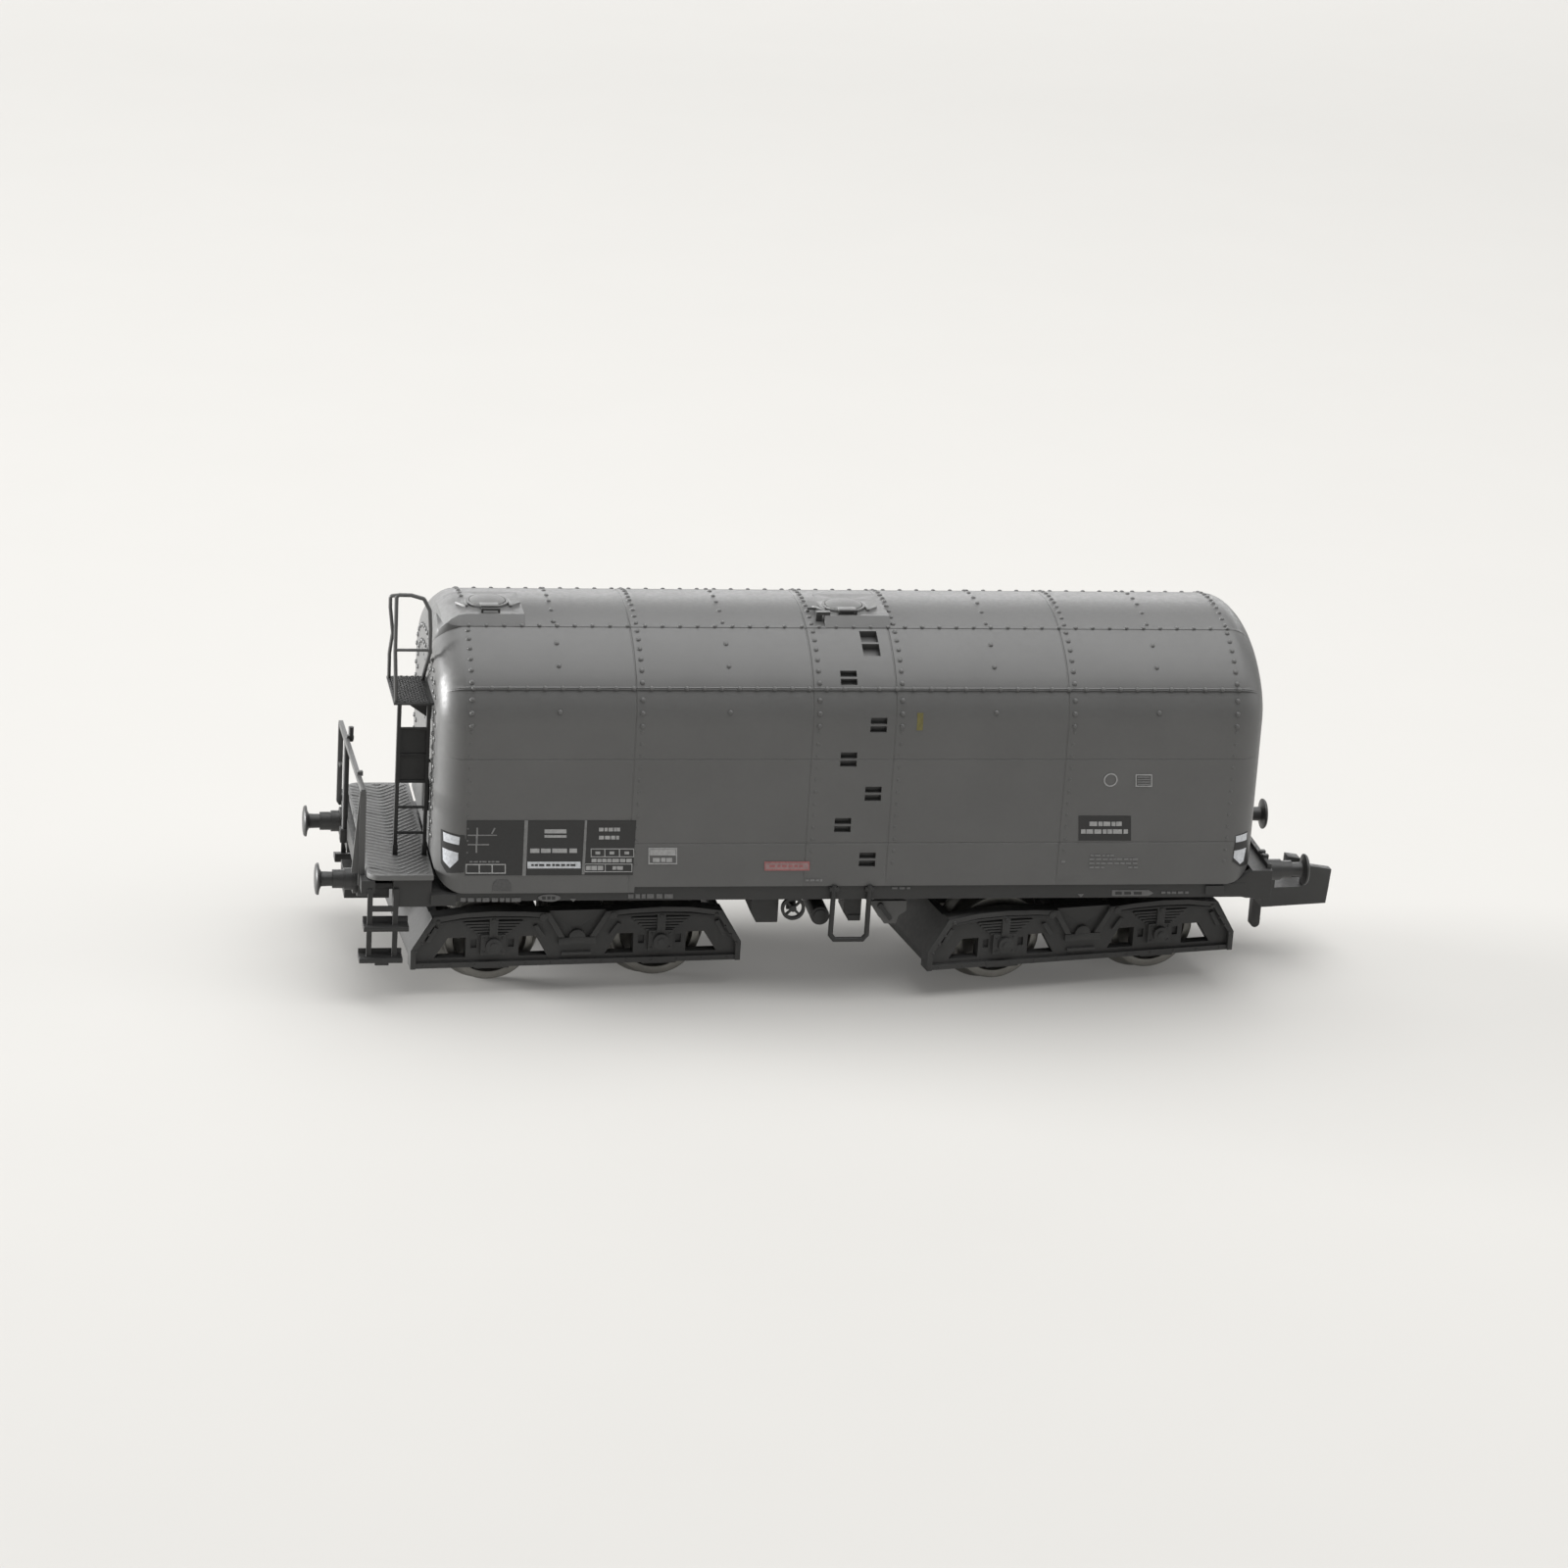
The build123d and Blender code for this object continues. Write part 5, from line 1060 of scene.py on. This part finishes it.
def build_landing_tread():
    """Crossing bars of an expanded-metal tread, cut to the landing's outline."""
    landing = nodes["ladder_landing"]
    points = [landing.matrix_world @ v.co for v in landing.data.vertices]
    x0, x1 = min(v.x for v in points) / MM, max(v.x for v in points) / MM
    y0, y1 = min(v.y for v in points) / MM, max(v.y for v in points) / MM
    top = max(v.z for v in points) / MM
    bm = bmesh.new()
    for slope in (1, -1):
        for start_y in np.arange(y0 - 6, y1 + 6, TREAD_PITCH):
            run = []
            for x in np.arange(x0 + TREAD_MARGIN, x1 - 0.2, 0.05):
                y = start_y + slope * (x - x0) * TREAD_SLOPE
                if y0 + TREAD_MARGIN < y < y1 - TREAD_MARGIN:
                    run.append((float(x), float(y)))
            if len(run) > 2:
                add_tread_bar(bm, run[0], run[-1], top)
    finish_mesh("landing_tread", bm, "landing_dark", sharp_angle=35)


build_landing_tread()

# --------------------------- dark tubes of painted shade under the top flange, and bolts on the bogie sides
# (distance from the bogie centre, height); each is repeated towards both ends
SHADE_TUBE_PATH = ((2.45, 5.45), (3.7, 5.53), (5.62, 5.58), (7.6, 5.50), (9.35, 5.28))
SHADE_TUBE_BOLTS = ((2.45, 5.45), (5.62, 5.42), (9.35, 5.42))
STRAP_BOLTS = ((9.95, 4.55), (10.35, 3.95), (10.75, 3.35))   # down the sloped end strap
SHADE_TUBE_Y, SHADE_TUBE_RADIUS = 7.30, 0.11
CLUSTER_SPACING = 11.25             # between the two groups of four bolts on a side


def build_bogie_details(tag, centre_x, yaw):
    cos_yaw, sin_yaw = math.cos(math.radians(yaw)), math.sin(math.radians(yaw))
    shade_tubes = bmesh.new()
    bolts = bmesh.new()

    def turned(along, y, z):
        return (centre_x + along * cos_yaw - y * sin_yaw, along * sin_yaw + y * cos_yaw, z)

    def add_bolt(side, along, y, z, radius, height, segments=10):
        add_dome(bolts, turned(along, side * y, z), (-sin_yaw * side, cos_yaw * side, 0),
                 radius, height, segments)

    for side in (-1, 1):
        for end in (-1, 1):
            # dark tube put in as painted shade, where the top flange shades the frame below it
            path = [turned(end * along, side * SHADE_TUBE_Y, z) for along, z in SHADE_TUBE_PATH]
            add_tube(shade_tubes, smooth_path(path, radius=0.5, steps=4), SHADE_TUBE_RADIUS)
            for along, z in SHADE_TUBE_BOLTS:
                add_bolt(side, end * along, 7.38, z, radius=0.17, height=0.10, segments=12)
            for along, z in STRAP_BOLTS:
                add_bolt(side, end * along, 7.40, z, radius=0.10, height=0.07)
            for offset in (-0.62, 0.62):
                for z in (3.15, 4.15):
                    add_bolt(side, end * CLUSTER_SPACING / 2 + offset, 7.30, z,
                             radius=0.09, height=0.06)
        # row along the bottom flange
        for along in np.arange(-10.2, 10.3, 1.7):
            add_bolt(side, float(along), 7.28, 2.28, radius=0.08, height=0.05)
    body = "bogie_" + tag
    finish_mesh("painted_shade_tubes_" + tag, shade_tubes, "detail_black", body=body)
    finish_mesh("bogie_bolts_" + tag, bolts, "bogie_plastic", body=body)


build_bogie_details("a", centre_x=-16.8, yaw=3.3)
build_bogie_details("b", centre_x=16.8, yaw=9.0)

# ---------------------------------------------------------------- CAD pieces
SPECIAL_MATERIAL = {"ladder_landing": "landing_dark", "manhole_lid_end": "lid_grey",
                    "manhole_lid_middle": "lid_grey"}
EDGE_WIDTH = 0.035
SPECIAL_EDGE_WIDTH = {"bogie_frame_a": 0.05, "bogie_frame_b": 0.05, "underframe": 0.05,
                      "coupler_head_b": 0.06}


def finish_cad_piece(name, piece, slot):
    """Material, soft edges and smooth shading for a CAD piece."""
    piece.data.materials.clear()
    piece.data.materials.append(materials[SPECIAL_MATERIAL.get(name, slot)])
    piece.data.shade_smooth()
    weld = piece.modifiers.new("weld", "WELD")
    weld.merge_threshold = 4e-7
    edge = piece.modifiers.new("edge", "BEVEL")
    edge.width = SPECIAL_EDGE_WIDTH.get(name, EDGE_WIDTH) * MM
    edge.segments = 2
    edge.limit_method = "ANGLE"
    edge.angle_limit = math.radians(40)
    edge.use_clamp_overlap = True
    edge.miter_outer = "MITER_SHARP"
    edge.harden_normals = False
    normals = piece.modifiers.new("normals", "WEIGHTED_NORMAL")
    normals.keep_sharp = False
    normals.weight = 50


slots = {s["node"]: s["material_slot"] for s in frame["record"]["subparts"]}
for name, piece in nodes.items():
    finish_cad_piece(name, piece, slots[name])

# -------------------------------------------------------------------- camera
CAMERA_LOCATION = (-0.05792, -0.29693, 0.11957)
CAMERA_ROTATION = ((0.98455, 0.00128, -0.17508),
                   (-0.16507, 0.34001, -0.92582),
                   (0.05834, 0.94041, 0.33497))

camera_data = bpy.data.cameras.new("camera")
camera = bpy.data.objects.new("camera", camera_data)
scene.collection.objects.link(camera)
camera_data.lens = 109.155
camera_data.sensor_width = 36.0
camera_data.clip_start = 0.005
camera_data.clip_end = 20.0
camera.matrix_world = (Matrix.Translation(Vector(CAMERA_LOCATION))
                       @ Matrix(CAMERA_ROTATION).to_4x4())
scene.camera = camera


# ----------------------------------------------------------- floor and light
def floor_paper():
    """Matt paper with a painted pool of light: its colour darkens away from the wagon. It also
    glows faintly, a painted glow that lifts the shadows on it.
    """
    material, tree, shader = new_material("floor_paper")
    coords = object_coords(tree)
    mottle = noise(tree, coords, scale=60.0)
    distance = tree.nodes.new("ShaderNodeVectorMath")
    distance.operation = "LENGTH"
    tree.links.new(coords, distance.inputs[0])
    # painted pool of light: the paper is given a lighter colour near the wagon
    painted_light_pool = remap(tree, distance.outputs["Value"], source=(0.03, 0.30), target=(0.93, 0.77))
    mottle = remap(tree, mottle, source=(0.3, 0.7), target=(0.995, 1.005))
    set_colour(tree, shader, (0.555, 0.545, 0.525),
               calculate(tree, "MULTIPLY", painted_light_pool, mottle))
    shader.inputs["Roughness"].default_value = 0.9
    shader.inputs["Specular IOR Level"].default_value = 0.1
    # painted glow: the floor emits a little light of its own
    shader.inputs["Emission Color"].default_value = (1.0, 0.985, 0.955, 1.0)
    shader.inputs["Emission Strength"].default_value = 0.09
    return material


def build_floor():
    bm = bmesh.new()
    bmesh.ops.create_grid(bm, x_segments=4, y_segments=4, size=2.5)
    mesh = bpy.data.meshes.new("floor")
    bm.to_mesh(mesh)
    bm.free()
    floor = bpy.data.objects.new("floor", mesh)
    scene.collection.objects.link(floor)
    mesh.materials.append(floor_paper())


build_floor()

world = bpy.data.worlds.new("studio")
scene.world = world
world.use_nodes = True
background = world.node_tree.nodes["Background"]
background.inputs["Color"].default_value = (1.0, 1.0, 0.985, 1.0)
background.inputs["Strength"].default_value = 0.25


def area_light(name, location, target, size, power):
    """Rectangular light of (width, height) aimed at a target."""
    data = bpy.data.lights.new(name, "AREA")
    data.shape = "RECTANGLE"
    data.size, data.size_y = size
    data.energy = power
    light = bpy.data.objects.new(name, data)
    scene.collection.objects.link(light)
    light.location = location
    aim = Vector(target) - Vector(location)
    light.rotation_euler = aim.to_track_quat("-Z", "Y").to_euler()


area_light("top", location=(0.10, 0.05, 0.66), target=(0, 0, 0.01), size=(1.0, 0.8), power=6.9)
area_light("back", location=(0.02, 0.60, 0.15), target=(0, 0, 0.024), size=(0.9, 0.12),
           power=1.6)
area_light("left", location=(-0.74, 0.20, 0.10), target=(-0.02, 0, 0.012), size=(0.35, 0.16),
           power=11.5)
area_light("right", location=(0.70, -0.02, 0.30), target=(0, 0, 0.015), size=(0.5, 0.5),
           power=1.0)

scene.view_settings.view_transform = "Standard"
scene.view_settings.look = "None"
scene.view_settings.exposure = 0.0
